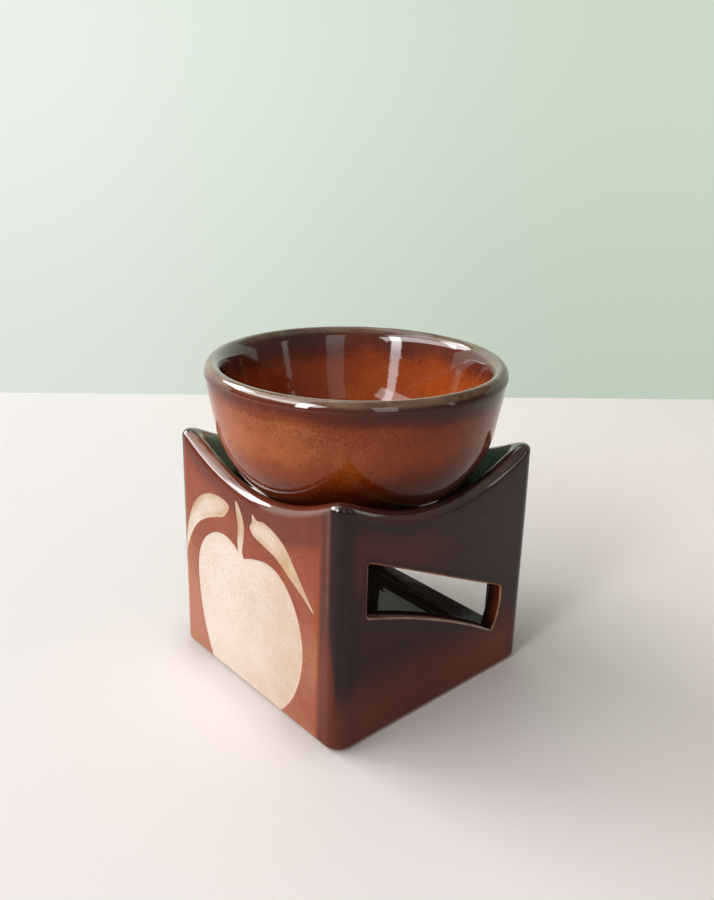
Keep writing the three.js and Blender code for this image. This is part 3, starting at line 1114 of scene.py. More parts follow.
@dataclass
class Stand:
    """The square stand: scooped walls, slanted slots in two of them and a doorway at the back."""

    wall: float = 6.0
    floor_top: float = 8.0
    saddle: float = 70.75
    tip: float = 82.8
    tip_rounding: float = 7.0
    wall_lean: float = 0.6
    corner_round: float = 5.0
    inner_corner_round: float = 2.5
    base_round: float = 2.0
    lip_round: float = 3.6
    cove_round: float = 2.5
    slot_front_margin: float = 11.8
    slot_rear_margin: float = 13.6
    slot_below_saddle: float = 9.25
    slot_above_floor: float = 8.5
    slot_high_end: float = 17.8
    slot_low_end: float = 16.2
    slot_sill_bow: float = 3.6
    slot_end_bulge: float = 2.6
    slot_corner_round: float = 1.0
    door_margin: float = 12.5
    door_lintel: float = 33.25
    door_round: float = 6.0
    door_foot_round: float = 1.5
    door_apron: float = 4.0
    edge_round: float = 0.8
    front_columns: int = 190
    side_columns: int = 84
    corner_columns: int = 12
    fine_rows: int = 150
    coarse_rows: int = 52
    arc_rows: int = 8
    lip_rows: int = 14
    ring_rows: int = 16
    ring_crowding: float = 1.6
    floor_rows: int = 12
    apron_rows: int = 4
    waviness: float = 0.12
    wavelength: float = 34.0
    still_foot: float = 3.0
    unglazed_foot: float = 0.7
    glaze_step: float = 0.22
    glaze_ramp: float = 0.35
    glaze_bead: Mark = Mark(0.3, Hill("bare", 0.5, 0.45))
    glaze_wave: float = 2.5
    glaze_wavelength: float = 30.0
    front_span: Span = (2.6, 4.8)
    front_foot: float = 2.4
    front_foot_span: Span = (45.0, 20.0)
    front_depth: FrontDepth = FrontDepth()
    front_band: FrontBand = FrontBand()
    front_corner: Mark = Mark(0.42, Fade("wavy_corner", 10.2, 7.6), Fade("x", 0.0, 10.0))
    corner_wave: float = 0.3
    band_wave: float = 0.7
    band_drop: float = 6.5
    band_slant: float = 7.0
    band_softness: float = 8.0
    band_sharpening: float = 3.0
    band_flecks: Mark = Mark(0.5, Hill("band_edge", 0.9, 0.8), Fade("x", -20.0, 10.0))
    side_depth: SideDepth = SideDepth()
    chamber_line: Fade = Fade("crest", 0.9, 2.0)
    chamber_depth: ChamberDepth = ChamberDepth()
    reveal_depth: float = 0.68
    reveal_pooling: float = 0.3
    reveal_foot: Fade = Fade("height", 21.0, 18.0)
    reveal_inner: Fade = Fade("through", 0.3, 0.8)
    reveal_chamber: Fade = Fade("through", 0.75, 1.0)
    reveal_inner_shoulder: float = 0.3
    pale_edges_and_highlights: PaleEdgesAndHighlights = PaleEdgesAndHighlights()
    clay_wash_and_shade: ClayWashAndShade = ClayWashAndShade()
    coat_middle: float = -0.4
    lip_coat: Fade = Fade("off_coat", 4.6, 3.4)
    pool_reach: float = 9.0
    pool_rise: float = 0.18
    pool_softness: float = 2.0
    threshold: float = 0.6
    sill_fall: float = 0.7
    finish: StandFinish = field(default_factory=StandFinish)
    design: FruitDesign = field(default_factory=FruitDesign)

    def __post_init__(self) -> None:
        """Takes the overall sizes from the CAD nodes."""
        low, high = node_box("stand")
        self.half = float(high[0] - low[0]) / 2
        self.inner_half = self.half - self.wall
        self.inner_lip_round = self.wall - self.lip_round
        self.lip_reach = self.lip_round * math.pi / 2
        self.cove_end = self.wall + self.cove_round
        self.straight = self.half - self.corner_round
        self.inner_straight = self.inner_half - self.inner_corner_round
        self.walls = (
            Wall(0, self.front_columns, self.fine_rows, self.fine_rows),
            Wall(1, self.side_columns, self.fine_rows, self.coarse_rows, "slot"),
            Wall(2, self.side_columns, self.coarse_rows, self.coarse_rows, "door"),
            Wall(3, self.side_columns, self.coarse_rows, self.fine_rows, "mirrored_slot"),
        )

    def ridge(self, plan: Array) -> Array:
        """Height of the ridge at places in the walls.

        Args:
            plan: Places, their last axis holding x and y.

        Returns:
            The heights.
        """
        x, y = np.abs(plan[..., 0]), np.abs(plan[..., 1])
        blend = np.maximum(self.tip_rounding - np.abs(x - y), 0.0)
        along = np.minimum(x, y) - blend ** 2 / (4 * self.tip_rounding)
        tip_along = self.half - self.corner_round * (1 - math.sqrt(0.5)) - self.tip_rounding / 4
        return self.saddle + (self.tip - self.saddle) * (along / tip_along) ** 2

    def taper(self, height: Array) -> Array:
        """How much the walls' lean draws a height in."""
        return 1 - self.wall_lean * height / (self.tip * self.half)

    def lift(self, across: Array, inset: Array, height: Array) -> Array:
        """Points of the front wall from places on it."""
        return np.stack([across, -(self.half - inset) * self.taper(height), height], -1)

    def section(self, outer_rows: int) -> dict[str, Array]:
        """The section through a wall, in parts from under the base to the middle of the chamber floor.

        Args:
            outer_rows: Steps up the outer face.

        Returns:
            For each part, rows of inset, height of its own, share of the ridge's height, and
            distance past the crest of the lip where the part has one.
        """
        foot = arc((self.base_round, self.base_round), self.base_round, (3, 2), self.arc_rows)
        outer_lip = arc((self.lip_round, -self.lip_round), self.lip_round, (2, 1), self.lip_rows)
        inner_lip = arc((self.lip_round, -self.inner_lip_round), self.inner_lip_round, (1, 0),
                        self.lip_rows)
        lip = np.concatenate([outer_lip, inner_lip[1:]])
        past = distances_along(lip) - self.lip_reach
        cove_top = self.floor_top + self.cove_round
        cove = arc((self.cove_end, cove_top), self.cove_round, (2, 3), self.arc_rows)
        up = np.linspace(0, 1, outer_rows + 1)
        down = np.linspace(1, 0, outer_rows - self.arc_rows - self.apron_rows + 1)
        apron_end = self.cove_end + self.door_apron
        inside_own = (1 - down) * cove_top - down * self.inner_lip_round
        apron = np.linspace(self.cove_end, apron_end, self.apron_rows + 1)
        return {
            "under": section_rows(np.linspace(self.half, self.base_round, self.floor_rows + 1)),
            "foot": section_rows(foot[:, 0], foot[:, 1]),
            "outside": section_rows(0.0 * up, (1 - up) * self.base_round - up * self.lip_round, up),
            "lip": section_rows(lip[:, 0], lip[:, 1], 1.0, past),
            "inside": section_rows(self.wall + 0.0 * down, inside_own, down),
            "cove": section_rows(cove[:, 0], cove[:, 1]),
            "apron": section_rows(apron, self.floor_top),
            "middle": section_rows(np.linspace(apron_end, self.half, self.floor_rows + 1), self.floor_top),
        }

    def past_crest(self, below: Array, inside: bool) -> Array:
        """Distance past the lip's crest, over its round, of points on a wall's faces.

        Args:
            below: How far under the ridge they lie.
            inside: Whether they are on the chamber's side.

        Returns:
            The distances, negative outside.
        """
        round_ = self.inner_lip_round if inside else self.lip_round
        distance = below + round_ * (math.pi / 2 - 1)
        return distance if inside else -distance

    def plan(self, stations: Stations, inset: float) -> Array:
        """Places of stations in plan at one depth into the walls.

        Args:
            stations: The stations' points on the outer and inner faces.
            inset: The depth.

        Returns:
            The places, before the lean draws them in.
        """
        outer, inner = stations
        if inset <= self.wall:
            return outer + (inner - outer) * inset / self.wall
        return inner * (self.half - inset) / self.inner_half

    def grid(self, stations: Stations, rows: Array, part: str) -> tuple[Array, Array]:
        """Points of one part of the section at some stations.

        Args:
            stations: The stations' points on the outer and inner faces.
            rows: The part's rows.
            part: The part's name.

        Returns:
            The points as rows and stations, and how far past the lip's crest each lies.
        """
        points, crest = [], []
        inside = part not in ("under", "foot", "outside")
        for inset, own, share, past in rows:
            plan = self.plan(stations, inset)
            ridge = self.ridge(plan)
            height = own + share * ridge
            points.append(np.column_stack([plan * self.taper(height)[:, None], height]))
            past_crest = self.past_crest(ridge - height, inside)
            crest.append(np.full(len(plan), past) if part == "lip" else past_crest)
        return np.array(points), np.array(crest)

    def wall_stations(self, columns: int) -> Stations:
        """Stations along the front wall's straight part.

        Args:
            columns: Steps along it.

        Returns:
            The stations' points on the outer and inner faces.
        """
        share = np.linspace(-1, 1, columns + 1)
        outer = np.column_stack([self.straight * share, np.full_like(share, -self.half)])
        inner = np.column_stack([self.inner_straight * share, np.full_like(share, -self.inner_half)])
        return outer, inner

    def corner_stations(self) -> Stations:
        """Stations round the corner to the right of the front wall.

        Returns:
            The stations' points on the outer and inner faces.
        """
        outer = arc((self.straight, -self.straight), self.corner_round, (-1, 0), self.corner_columns)
        inner = arc((self.inner_straight, -self.inner_straight), self.inner_corner_round, (-1, 0),
                    self.corner_columns)
        return outer, inner

    def add_grids(self, patches: Patches, stations: Stations, turns: int, outer_rows: int,
                  skip: Sequence[str] = ()) -> None:
        """Adds the plain parts of the section at some stations.

        Args:
            patches: The mesh under construction.
            stations: The stations' points on the outer and inner faces.
            turns: Quarter turns from the front.
            outer_rows: Steps up the outer face.
            skip: Parts to leave to an opening's panels.
        """
        for part, rows in self.section(outer_rows).items():
            if part not in skip:
                points, crest = self.grid(stations, rows, part)
                patches.add(turned(points, turns), crest=crest, opening=FAR)

    def slot_sides(self) -> list[Array]:
        """The slanted slot's sides, across and up the right wall.

        Returns:
            The lines of its sill, rear end, top and front end.
        """
        front, rear = -self.half + self.slot_front_margin, self.half - self.slot_rear_margin
        high_top = self.saddle - self.slot_below_saddle
        low_sill = self.floor_top + self.slot_above_floor
        high_sill, low_top = high_top - self.slot_high_end, low_sill + self.slot_low_end
        foot = (rear - self.slot_end_bulge, low_sill)
        bow = ((front + rear) / 2, (high_sill + low_sill) / 2 + self.slot_sill_bow)
        bulge = (rear + self.slot_end_bulge / 2, (low_sill + low_top) / 2)
        return [
            curve((front, high_sill), bow, foot),
            curve(foot, bulge, (rear, low_top)),
            np.array([(rear, low_top), (front, high_top)]),
            np.array([(front, high_top), (front, high_sill)]),
        ]

    def door_sides(self) -> list[Array]:
        """The doorway's sides, across and up the rear wall.

        Returns:
            The lines of its sill, right side, top and left side.
        """
        reach, top = self.half - self.door_margin, self.saddle - self.door_lintel
        corners = np.array([(-reach, self.floor_top), (reach, self.floor_top), (reach, top), (-reach, top)])
        return [np.stack([corners[i], corners[(i + 1) % 4]]) for i in range(4)]

    def opening_outline(self, wall: Wall) -> Array:
        """Outline of a wall's opening, with as many points as the border of its panels.

        Args:
            wall: The wall.

        Returns:
            Points across and up the wall, anticlockwise seen from outside.
        """
        counts = (wall.columns, wall.right_rows, wall.columns, wall.left_rows)
        if wall.opening == "door":
            radii = (self.door_foot_round, self.door_foot_round, self.door_round, self.door_round)
            return rounded_outline(self.door_sides(), radii, counts)
        sides = self.slot_sides()
        if wall.opening == "mirrored_slot":
            sill, rear, top, front = (side[::-1] * (-1, 1) for side in sides)
            sides = [sill, front, top, rear]
        return rounded_outline(sides, (self.slot_corner_round,) * 4, counts)

    def inner_inset(self, height: Array) -> Array:
        """Depth at which the chamber's surface stands at a height."""
        left = np.clip(self.floor_top + self.cove_round - height, 0, self.cove_round)
        return self.cove_end - np.sqrt(self.cove_round ** 2 - left ** 2)

    def climb(self, inset: Array, height: Array) -> Array:
        """Distance up the chamber's surface from the inner edge of the doorway's apron.

        Args:
            inset: Insets of points on that surface.
            height: Their heights.

        Returns:
            The distances.
        """
        on_floor = np.minimum(self.cove_end + self.door_apron - inset, self.door_apron)
        angle = np.arccos(np.clip(1 - (height - self.floor_top) / self.cove_round, 0, 1))
        above = np.maximum(height - self.floor_top - self.cove_round, 0)
        return on_floor + self.cove_round * angle + above

    def descend(self, climb: Array) -> tuple[Array, Array]:
        """The point of the chamber's surface at a distance up it.

        Args:
            climb: Distances up the surface, as climb gives them.

        Returns:
            Insets and heights.
        """
        turn = np.clip((climb - self.door_apron) / self.cove_round, 0, math.pi / 2)
        above = np.maximum(climb - self.door_apron - self.cove_round * math.pi / 2, 0)
        on_floor = np.maximum(self.door_apron - climb, 0)
        inset = self.wall + self.cove_round * (1 - np.sin(turn)) + on_floor
        return inset, self.floor_top + self.cove_round * (1 - np.cos(turn)) + above

    def border(self, wall: Wall, parts: Sequence[str]) -> Array:
        """Points round the edge of the panel that holds an opening.

        Args:
            wall: The wall.
            parts: The section's parts that the panel takes the place of, in order.

        Returns:
            Rows of across, inset and height, anticlockwise seen from outside.
        """
        stations = self.wall_stations(wall.columns)
        sides = []
        for end, outer_rows in ((0, wall.left_rows), (-1, wall.right_rows)):
            column = (stations[0][[end]], stations[1][[end]])
            section = self.section(outer_rows)
            line = np.concatenate([self.grid(column, section[part], part)[0][:, 0] for part in parts])
            line = line[np.append(True, np.diff(distances_along(line)) > TINY)]
            sides.append(line if line[0, 2] < line[-1, 2] else line[::-1])
        section = self.section(wall.left_rows)
        ends = [self.grid(stations, section[parts[0]][:1], parts[0])[0][0],
                self.grid(stations, section[parts[-1]][-1:], parts[-1])[0][0]]
        bottom, top = sorted(ends, key=lambda line: line[len(line) // 2, 2])
        loop = np.concatenate([bottom[:-1], sides[1][:-1], top[:0:-1], sides[0][:0:-1]])
        inset = self.half + loop[:, 1] / self.taper(loop[:, 2])
        return np.column_stack([loop[:, 0], inset, loop[:, 2]])

    def crest_at(self, across: Array, height: Array, inside: bool) -> Array:
        """How far past the lip's crest points of a wall's face lie.

        Args:
            across: Places across the wall.
            height: Heights.
            inside: Whether they are on the chamber's side.

        Returns:
            The distances, negative outside.
        """
        depth = self.inner_half if inside else self.half
        ridge = self.ridge(np.stack([across, np.full_like(across, depth)], -1))
        return self.past_crest(ridge - height, inside)

    def add_panel(self, patches: Patches, wall: Wall, outline: Array, inside: bool) -> None:
        """Adds the part of a wall's face round its opening.

        Args:
            patches: The mesh under construction.
            wall: The wall.
            outline: The opening's outline.
            inside: Whether it is the chamber's face.
        """
        border = self.border(wall, ("inside", "cove", "apron") if inside else ("outside",))
        rim = outline + self.outward(wall, outline, inside) * self.edge_round
        rim_inset = self.inner_inset(rim[:, 1]) if inside else 0.0 * rim[:, 1]
        share = (np.arange(self.ring_rows + 1)[:, None] / self.ring_rows) ** self.ring_crowding
        across = rim[:, 0] * (1 - share) + border[:, 0] * share
        if inside:
            start, end = self.climb(rim_inset, rim[:, 1]), self.climb(border[:, 1], border[:, 2])
            inset, height = self.descend(start * (1 - share) + end * share)
        else:
            height = rim[:, 1] * (1 - share) + border[:, 2] * share
            inset = 0.0 * height
        inset[0], height[0] = rim_inset, rim[:, 1]
        inset[-1], height[-1] = border[:, 1], border[:, 2]
        gap = np.hypot(across - outline[:, 0], height - outline[:, 1])
        patches.add(turned(self.lift(across, inset, height), wall.turns), closed=True,
                    crest=self.crest_at(across, height, inside), opening=gap)

    def outward(self, wall: Wall, outline: Array, inside: bool) -> Array:
        """Directions away from an opening along its wall's face.

        Args:
            wall: The wall.
            outline: The opening's outline.
            inside: Whether it is the chamber's face, where a doorway's sill is level with the floor.

        Returns:
            A direction for each point of the outline.
        """
        along = np.roll(outline, -1, 0) - np.roll(outline, 1, 0)
        away = np.column_stack([along[:, 1], -along[:, 0]])
        away /= np.linalg.norm(away, axis=1)[:, None]
        if inside and wall.opening == "door":
            away[:, 1] = np.maximum(away[:, 1], 0.0)
        return away

    def add_reveal(self, patches: Patches, wall: Wall, outline: Array) -> None:
        """Adds the way through a wall, its edges rounded on both faces.

        Args:
            patches: The mesh under construction.
            wall: The wall.
            outline: The opening's outline.
        """
        turn = np.linspace(0, 1, self.arc_rows + 1)[:, None] * math.pi / 2
        outer, inner = self.outward(wall, outline, False), self.outward(wall, outline, True)
        start = outline + outer * (self.edge_round * (1 - np.sin(turn)))[..., None]
        start_inset = self.edge_round * (1 - np.cos(turn)) + 0.0 * start[..., 0]
        end = outline + inner * (self.edge_round * (1 - np.cos(turn)))[..., None]
        end_inset = self.inner_inset(end[..., 1]) - self.edge_round * (1 - np.sin(turn))
        points = np.concatenate([self.lift(start[..., 0], start_inset, start[..., 1]),
                                 self.lift(end[..., 0], end_inset, end[..., 1])])
        shoulder = np.sin(2 * turn) ** 2 + 0.0 * start[..., 0]
        through = np.concatenate([start_inset, end_inset]) / self.wall
        sill = (np.arange(len(outline)) < wall.columns) + 0.0 * through
        inner_shoulder = shoulder * (0.0 if wall.opening == "door" else self.reveal_inner_shoulder)
        patches.add(turned(points, wall.turns), closed=True, crest=-self.half, opening=0.0,
                    shoulder=np.concatenate([shoulder, inner_shoulder]), through=through, sill=sill)

    def places(self, points: Array, carried: Places) -> Places:
        """What the marks of the glaze and the clay go by.

        Args:
            points: The points.
            carried: Their distance past the lip's crest and from an opening, and their place in a reveal.

        Returns:
            The carried values and the points' other measures, by name.
        """
        x, y, height = points.T
        crest = carried["crest"]
        wave = self.glaze_wave * unevenness(points, self.glaze_wavelength)
        corner = self.half - np.minimum(np.abs(x), np.abs(y))
        below = np.maximum(-crest, 0)
        turn = -y - np.abs(x) + self.front_foot * smooth(height, *self.front_foot_span)
        front = smooth(turn, *self.front_span)
        rightward = smooth(x, -25.0, 25.0)
        band_top = below + self.band_wave * wave - self.band_slant * rightward - self.band_drop
        return {
            **carried, "x": x, "y": y, "height": height, "below": below, "corner": corner,
            "wavy_height": height + wave, "wavy_corner": corner + self.corner_wave * wave,
            "past_straight": np.abs(x) - self.straight, "off_coat": np.abs(crest - self.coat_middle),
            "band_edge": band_top / (self.band_softness - self.band_sharpening * rightward),
            "front": front, "side": 1 - front,
        }

    def clay_distance(self, at: Places) -> Array:
        """Signed distance to the bare clay of the design and of the base.

        Args:
            at: The points' measures.

        Returns:
            Distances, negative in the clay.
        """
        bare = at["height"] - self.unglazed_foot
        on_front = (at["y"] < -self.straight) & (at["crest"] < -self.lip_reach)
        design = self.design.distance(at["x"][on_front], at["height"][on_front])
        bare[on_front] = np.minimum(bare[on_front], design)
        return bare

    def pooled(self, at: Places) -> Array:
        """How high the glaze has pooled on the chamber's floor and on the openings' sills.

        Args:
            at: The points' measures.

        Returns:
            Heights in millimetres.
        """
        x, y, height, through = (at[name] for name in ("x", "y", "height", "through"))
        on_floor = (at["crest"] > 0) & (height < self.floor_top + self.cove_round)
        low_rear = (y > self.inner_straight) & (height < self.floor_top + self.threshold)
        on_threshold = (through > 0) & low_rear
        reach = self.pool_reach - self.inner_half + (x ** 4 + y ** 4) ** 0.25
        rise = self.pool_rise * (reach + np.hypot(reach, self.pool_softness))
        on_sill = self.sill_fall * self.wall * through * at["sill"]
        return np.where(on_floor | on_threshold, rise, 0.0) + np.where(on_threshold, 0.0, on_sill)

    def dress(self, points: Array, carried: Places) -> Places:
        """What the finish needs to know at each point.

        Args:
            points: The points.
            carried: What the mesh carries at them.

        Returns:
            The glaze's depth, partly painted light at the chamber's top; its pale edges, partly painted
            highlights;
            the chamber's share; the distance to bare clay; the clay's washed-on tint and painted shade; the
            glassy coat;
            the pooled glaze and its flecks.
        """
        at = self.places(points, carried)
        front, inside, in_reveal = at["front"], self.chamber_line.at(at), at["through"] > 0
        dark = np.maximum(self.front_band.total(at), self.front_corner.at(at))
        depth = front * (self.front_depth.total(at) + dark) + at["side"] * self.side_depth.total(at)
        depth = depth * (1 - inside) + inside * self.chamber_depth.total(at)
        deep = np.maximum(self.reveal_foot.at(at), self.reveal_inner.at(at))
        depth = np.where(in_reveal, self.reveal_depth + self.reveal_pooling * deep, depth)
        bare = self.clay_distance(at)
        # The washed-on glaze over the clay and its painted shade towards the right
        wash = self.clay_wash_and_shade.total({**at, "inward": -bare})
        return {
            "depth": np.clip(depth, 0, 1),
            "edge": np.clip(self.pale_edges_and_highlights.total(at), 0, 1),
            "chamber": np.where(in_reveal, self.reveal_chamber.at(at), inside),
            "bare": np.clip(bare, -FAR, FAR),
            "wash": np.clip(wash, 0, 1),
            "glassy": np.maximum(self.lip_coat.at(at), at["shoulder"] * at["sill"]),
            "pool": self.pooled(at),
            "flecks": front * self.band_flecks.at(at),
        }

    def surface(self, points: Array, layers: Places) -> Array:
        """How far the fired surface stands off the plain form.

        Args:
            points: The points.
            layers: The layers from dress.

        Returns:
            Displacements along the normals.
        """
        off_foot = smooth(points[:, 2], self.unglazed_foot, self.still_foot)
        glaze = smooth(layers["bare"], -self.glaze_ramp, self.glaze_ramp) + self.glaze_bead.at(layers) - 1
        return off_foot * (self.waviness * unevenness(points, self.wavelength) + self.glaze_step * glaze)

    def build(self) -> Object:
        """Builds and dresses the stand.

        Returns:
            The stand.
        """
        patches = Patches(("crest", "opening", "shoulder", "through", "sill"))
        for wall in self.walls:
            stations = self.wall_stations(wall.columns)
            skip = ("outside", "inside", "cove", "apron") if wall.opening else ()
            self.add_grids(patches, stations, wall.turns, wall.right_rows, skip)
            self.add_grids(patches, self.corner_stations(), wall.turns, wall.right_rows)
            if wall.opening:
                outline = self.opening_outline(wall)
                self.add_panel(patches, wall, outline, inside=False)
                self.add_panel(patches, wall, outline, inside=True)
                self.add_reveal(patches, wall, outline)
        piece = patches.build("glazed_stand", self.dress, self.surface)
        piece.data.materials.append(self.finish.material())
        return placed(piece, "stand", "stand_glaze", "stand")


@dataclass(frozen=True)
class OuterDepth(Marks):
    """Depth of the glaze outside the bowl, with painted shade on its belly and its far right."""

    overall: Mark = Mark(0.20)
    under_rim: Mark = Mark(0.49, Fade("wavy_below", 10.0, 4.0))
    # Painted shade and a painted dark reflection of the stand on the belly
    belly: Mark = Mark(0.55, Fade("height", 34.0, 12.0))
    # Painted shade on the bowl's side away from the windows
    far_right: Mark = Mark(0.31, Fade("far_right", 0.15, 1.0))


@dataclass(frozen=True)
class BasinDepth(Marks):
    """Depth of the glaze in the bowl's basin, with painted shade on its left."""

    overall: Mark = Mark(0.28)
    under_rim: Mark = Mark(0.45, Fade("wavier_below", 16.0, 3.0))
    floor: Mark = Mark(0.25, Fade("height", 14.0, 6.0))
    # Painted shade on the basin's left wall, away from the windows
    left: Mark = Mark(0.14, Fade("left", 0.0, 0.3), Fade("left", 0.85, 0.5), Fade("radius", 8.0, 24.0))


@dataclass(frozen=True)
class RimWear(Marks):
    """Where the bowl's glaze breaks on its rim."""

    overall: Mark = Mark(0.85, Fade("below", 2.2, 1.0))
    near: Mark = Mark(0.10, Fade("rear", -0.6, -1.0), Fade("below", 2.2, 1.0))
    rear: Mark = Mark(-0.25, Fade("rear", 0.3, 0.9), Fade("below", 2.2, 1.0))


@dataclass(frozen=True)
class LipCoat(Marks):
    """The glassy coat on the bowl's lip."""

    overall: Mark = Mark(0.34)
    rear: Mark = Mark(-0.102, Fade("rear", 0.3, 0.9))
    front: Mark = Mark(0.50, Fade("front", 0.2, 0.9))
    front_towards_rear: Mark = Mark(-0.15, Fade("front", 0.2, 0.9), Fade("rear", 0.3, 0.9))
    basin: Mark = Mark(0.20, Share("basin"))
    right: Mark = Mark(-0.19, Fade("left", -0.2, -0.8), Fade("rear", 0.9, 0.3))
    left: Mark = Mark(-0.20, Fade("left", 0.3, 0.9))


@dataclass
class Bowl:
    """The loose bowl: a straight flared wall on a rounded belly, and a turned foot ring."""

    floor: float = 5.5
    flare_height: float = 19.5
    flare_slope: float = 0.142
    rim_round: Span = (2.4, 3.5)
    rim_land: float = 2.5
    roll_run: float = 4.2
    roll_drop: float = 8.4
    basin_slope: float = 0.30
    foot_radius: float = 20.0
    foot_ring: float = 3.0
    foot_recess: float = 0.9
    foot_round: float = 0.8
    foot_turn: float = 3.6
    foot_chamfer: Span = (0.2, 0.12)
    steps: int = 288
    belly_steps: int = 60
    wall_steps: int = 30
    arc_steps: int = 8
    foot_steps: int = 4
    recess_rows: int = 10
    lip_rows: int = 6
    waviness: float = 0.08
    wavelength: float = 38.0
    still_foot: float = 3.0
    unglazed_foot: float = 1.0
    glaze_wave: float = 1.2
    glaze_wavelength: float = 26.0
    outer_depth: OuterDepth = OuterDepth()
    basin_depth: BasinDepth = BasinDepth()
    rim_wear: RimWear = RimWear()
    band_flecks: Mark = Mark(0.55, Hill("wavy_below", 9.5, 4.5))
    lip_coat: LipCoat = LipCoat()
    lip_fade: Fade = Fade("below", 9.0, 2.5)
    lip_foot: Fade = Fade("below", 2.2, 3.4)
    basin_coat: float = 0.15
    directions: tuple = (("left", -0.669, -0.743), ("rear", -0.743, 0.669), ("front", 0.208, -1.263),
                         ("far_right", 0.966, 0.259))
    finish: BowlFinish = field(default_factory=BowlFinish)

    def __post_init__(self) -> None:
        """Takes the overall sizes from the CAD nodes."""
        low, high = node_box("bowl")
        self.rim_radius = float(high[0] - low[0]) / 2
        self.height = float(high[2] - low[2])
        self.foot_height = float(low[2])
        self.flare_foot = self.height - self.flare_height

    def belly(self, wall_radius: float, slope: float, end_radius: float, end_height: float) -> Array:
        """The elliptic arc below the straight part of the wall.

        Args:
            wall_radius: Its radius where it leaves the wall.
            slope: The wall's run for each unit of its height.
            end_radius: Its radius at the lower end.
            end_height: Its height there.

        Returns:
            Points from the lower end up.
        """
        drop = self.flare_foot - end_height
        squash = (wall_radius ** 2 - end_radius ** 2 - 2 * slope * wall_radius * drop) / drop ** 2
        rise = slope * wall_radius / squash
        across = math.sqrt(wall_radius ** 2 + squash * rise ** 2)
        down = across / math.sqrt(squash)
        turns = [3 + math.asin(radius / across) / (math.pi / 2) for radius in (end_radius, wall_radius)]
        return arc((0, self.flare_foot + rise), (across, down), turns, self.belly_steps)

    def outline(self) -> Array:
        """The bowl's section, from under the foot to the basin's middle.

        Returns:
            Rows of radius, height, and whether the row is inside.
        """
        round_, chamfer, recess = self.foot_round, self.foot_chamfer, self.foot_recess
        ring = self.foot_radius - self.foot_ring
        under = np.linspace((0, recess), (ring - recess, recess), self.recess_rows)
        seat = np.array([(ring - chamfer[0], chamfer[1]), (ring + chamfer[0], 0),
                         (self.foot_radius - round_, 0)])
        foot = arc((self.foot_radius - round_, round_), round_, (3, self.foot_turn), self.foot_steps)
        wall_radius = self.rim_radius - self.flare_slope * self.flare_height
        outer_rim = arc((self.rim_radius - self.rim_round[0], self.height - self.rim_round[1]),
                        self.rim_round, (0, 1), 2 * self.arc_steps)
        outer_belly = self.belly(wall_radius, self.flare_slope, self.foot_radius, 0.0)[1:]
        outer_wall = np.linspace(outer_belly[-1], outer_rim[0], self.wall_steps)
        roll_end = 2 - math.atan(self.basin_slope * self.roll_drop / self.roll_run) / (math.pi / 2)
        inner_rim = arc((self.rim_radius - self.rim_land, self.height - self.roll_drop),
                        (self.roll_run, self.roll_drop), (1, roll_end), 3 * self.arc_steps)
        lip = np.linspace(outer_rim[-1], inner_rim[0], self.lip_rows)
        basin_radius = inner_rim[-1, 0] - self.basin_slope * (inner_rim[-1, 1] - self.flare_foot)
        inner_belly = self.belly(basin_radius, self.basin_slope, 0.0, self.floor)[::-1]
        inner_wall = np.linspace(inner_rim[-1], inner_belly[0], self.wall_steps)
        crest = self.lip_rows // 2
        outside = np.concatenate([
            under, seat, foot[1:], outer_belly, outer_wall[1:], outer_rim[1:], lip[1:crest]])
        inside = np.concatenate([lip[crest:], inner_rim[1:], inner_wall[1:], inner_belly[1:]])
        basin = np.append(np.zeros(len(outside)), np.ones(len(inside)))
        return np.column_stack([np.concatenate([outside, inside]), basin])

    def places(self, points: Array, carried: Places) -> Places:
        """What the marks of the glaze go by.

        Args:
            points: The points.
            carried: Whether they are in the basin.

        Returns:
            The carried values and the points' other measures, by name.
        """
        height = points[:, 2] - self.foot_height
        below = self.height - height
        wave = self.glaze_wave * unevenness(points, self.glaze_wavelength)
        radius = np.hypot(points[:, 0], points[:, 1])
        x, y = points[:, :2].T / np.maximum(radius, 1.0)
        towards = {name: across * x + along * y for name, across, along in self.directions}
        return {**carried, **towards, "height": height, "below": below, "radius": radius,
                "wavy_below": below + wave, "wavier_below": below + 2 * wave}

    def dress(self, points: Array, carried: Places) -> Places:
        """What the finish needs to know at each point.

        Args:
            points: The points.
            carried: What the mesh carries at them.

        Returns:
            The glaze's depth, with painted shade on the belly, the far right and the basin's left; its
            breaking on the rim, the basin's share, the glassy coat, flecks, and the distance to bare clay.
        """
        at = self.places(points, carried)
        basin = at["basin"]
        depth = self.outer_depth.total(at) * (1 - basin) + self.basin_depth.total(at) * basin
        lip = self.lip_coat.total(at) * self.lip_fade.at(at) * (1 - self.lip_foot.at(at) * (1 - basin))
        return {
            "depth": np.clip(depth, 0, 1),
            "edge": self.rim_wear.total(at),
            "basin": basin,
            "glassy": np.clip(lip + self.basin_coat * basin, 0, 1),
            "flecks": self.band_flecks.at(at),
            "bare": np.where(basin > 0.5, FAR, at["height"] - self.unglazed_foot),
        }

    def surface(self, points: Array, layers: Places) -> Array:
        """How far the fired surface stands off the plain form."""
        off_foot = smooth(points[:, 2] - self.foot_height, 0.0, self.still_foot)
        return off_foot * self.waviness * unevenness(points, self.wavelength)

    def build(self) -> Object:
        """Builds and dresses the bowl.

        Returns:
            The bowl.
        """
        patches = Patches(("basin",))
        outline = self.outline()
        lathe(patches, outline[:, :2], self.steps, (0, 0, self.foot_height), basin=outline[:, 2])
        piece = patches.build("glazed_bowl", self.dress, self.surface)
        piece.data.materials.append(self.finish.material())
        return placed(piece, "bowl", "bowl_glaze", "bowl")


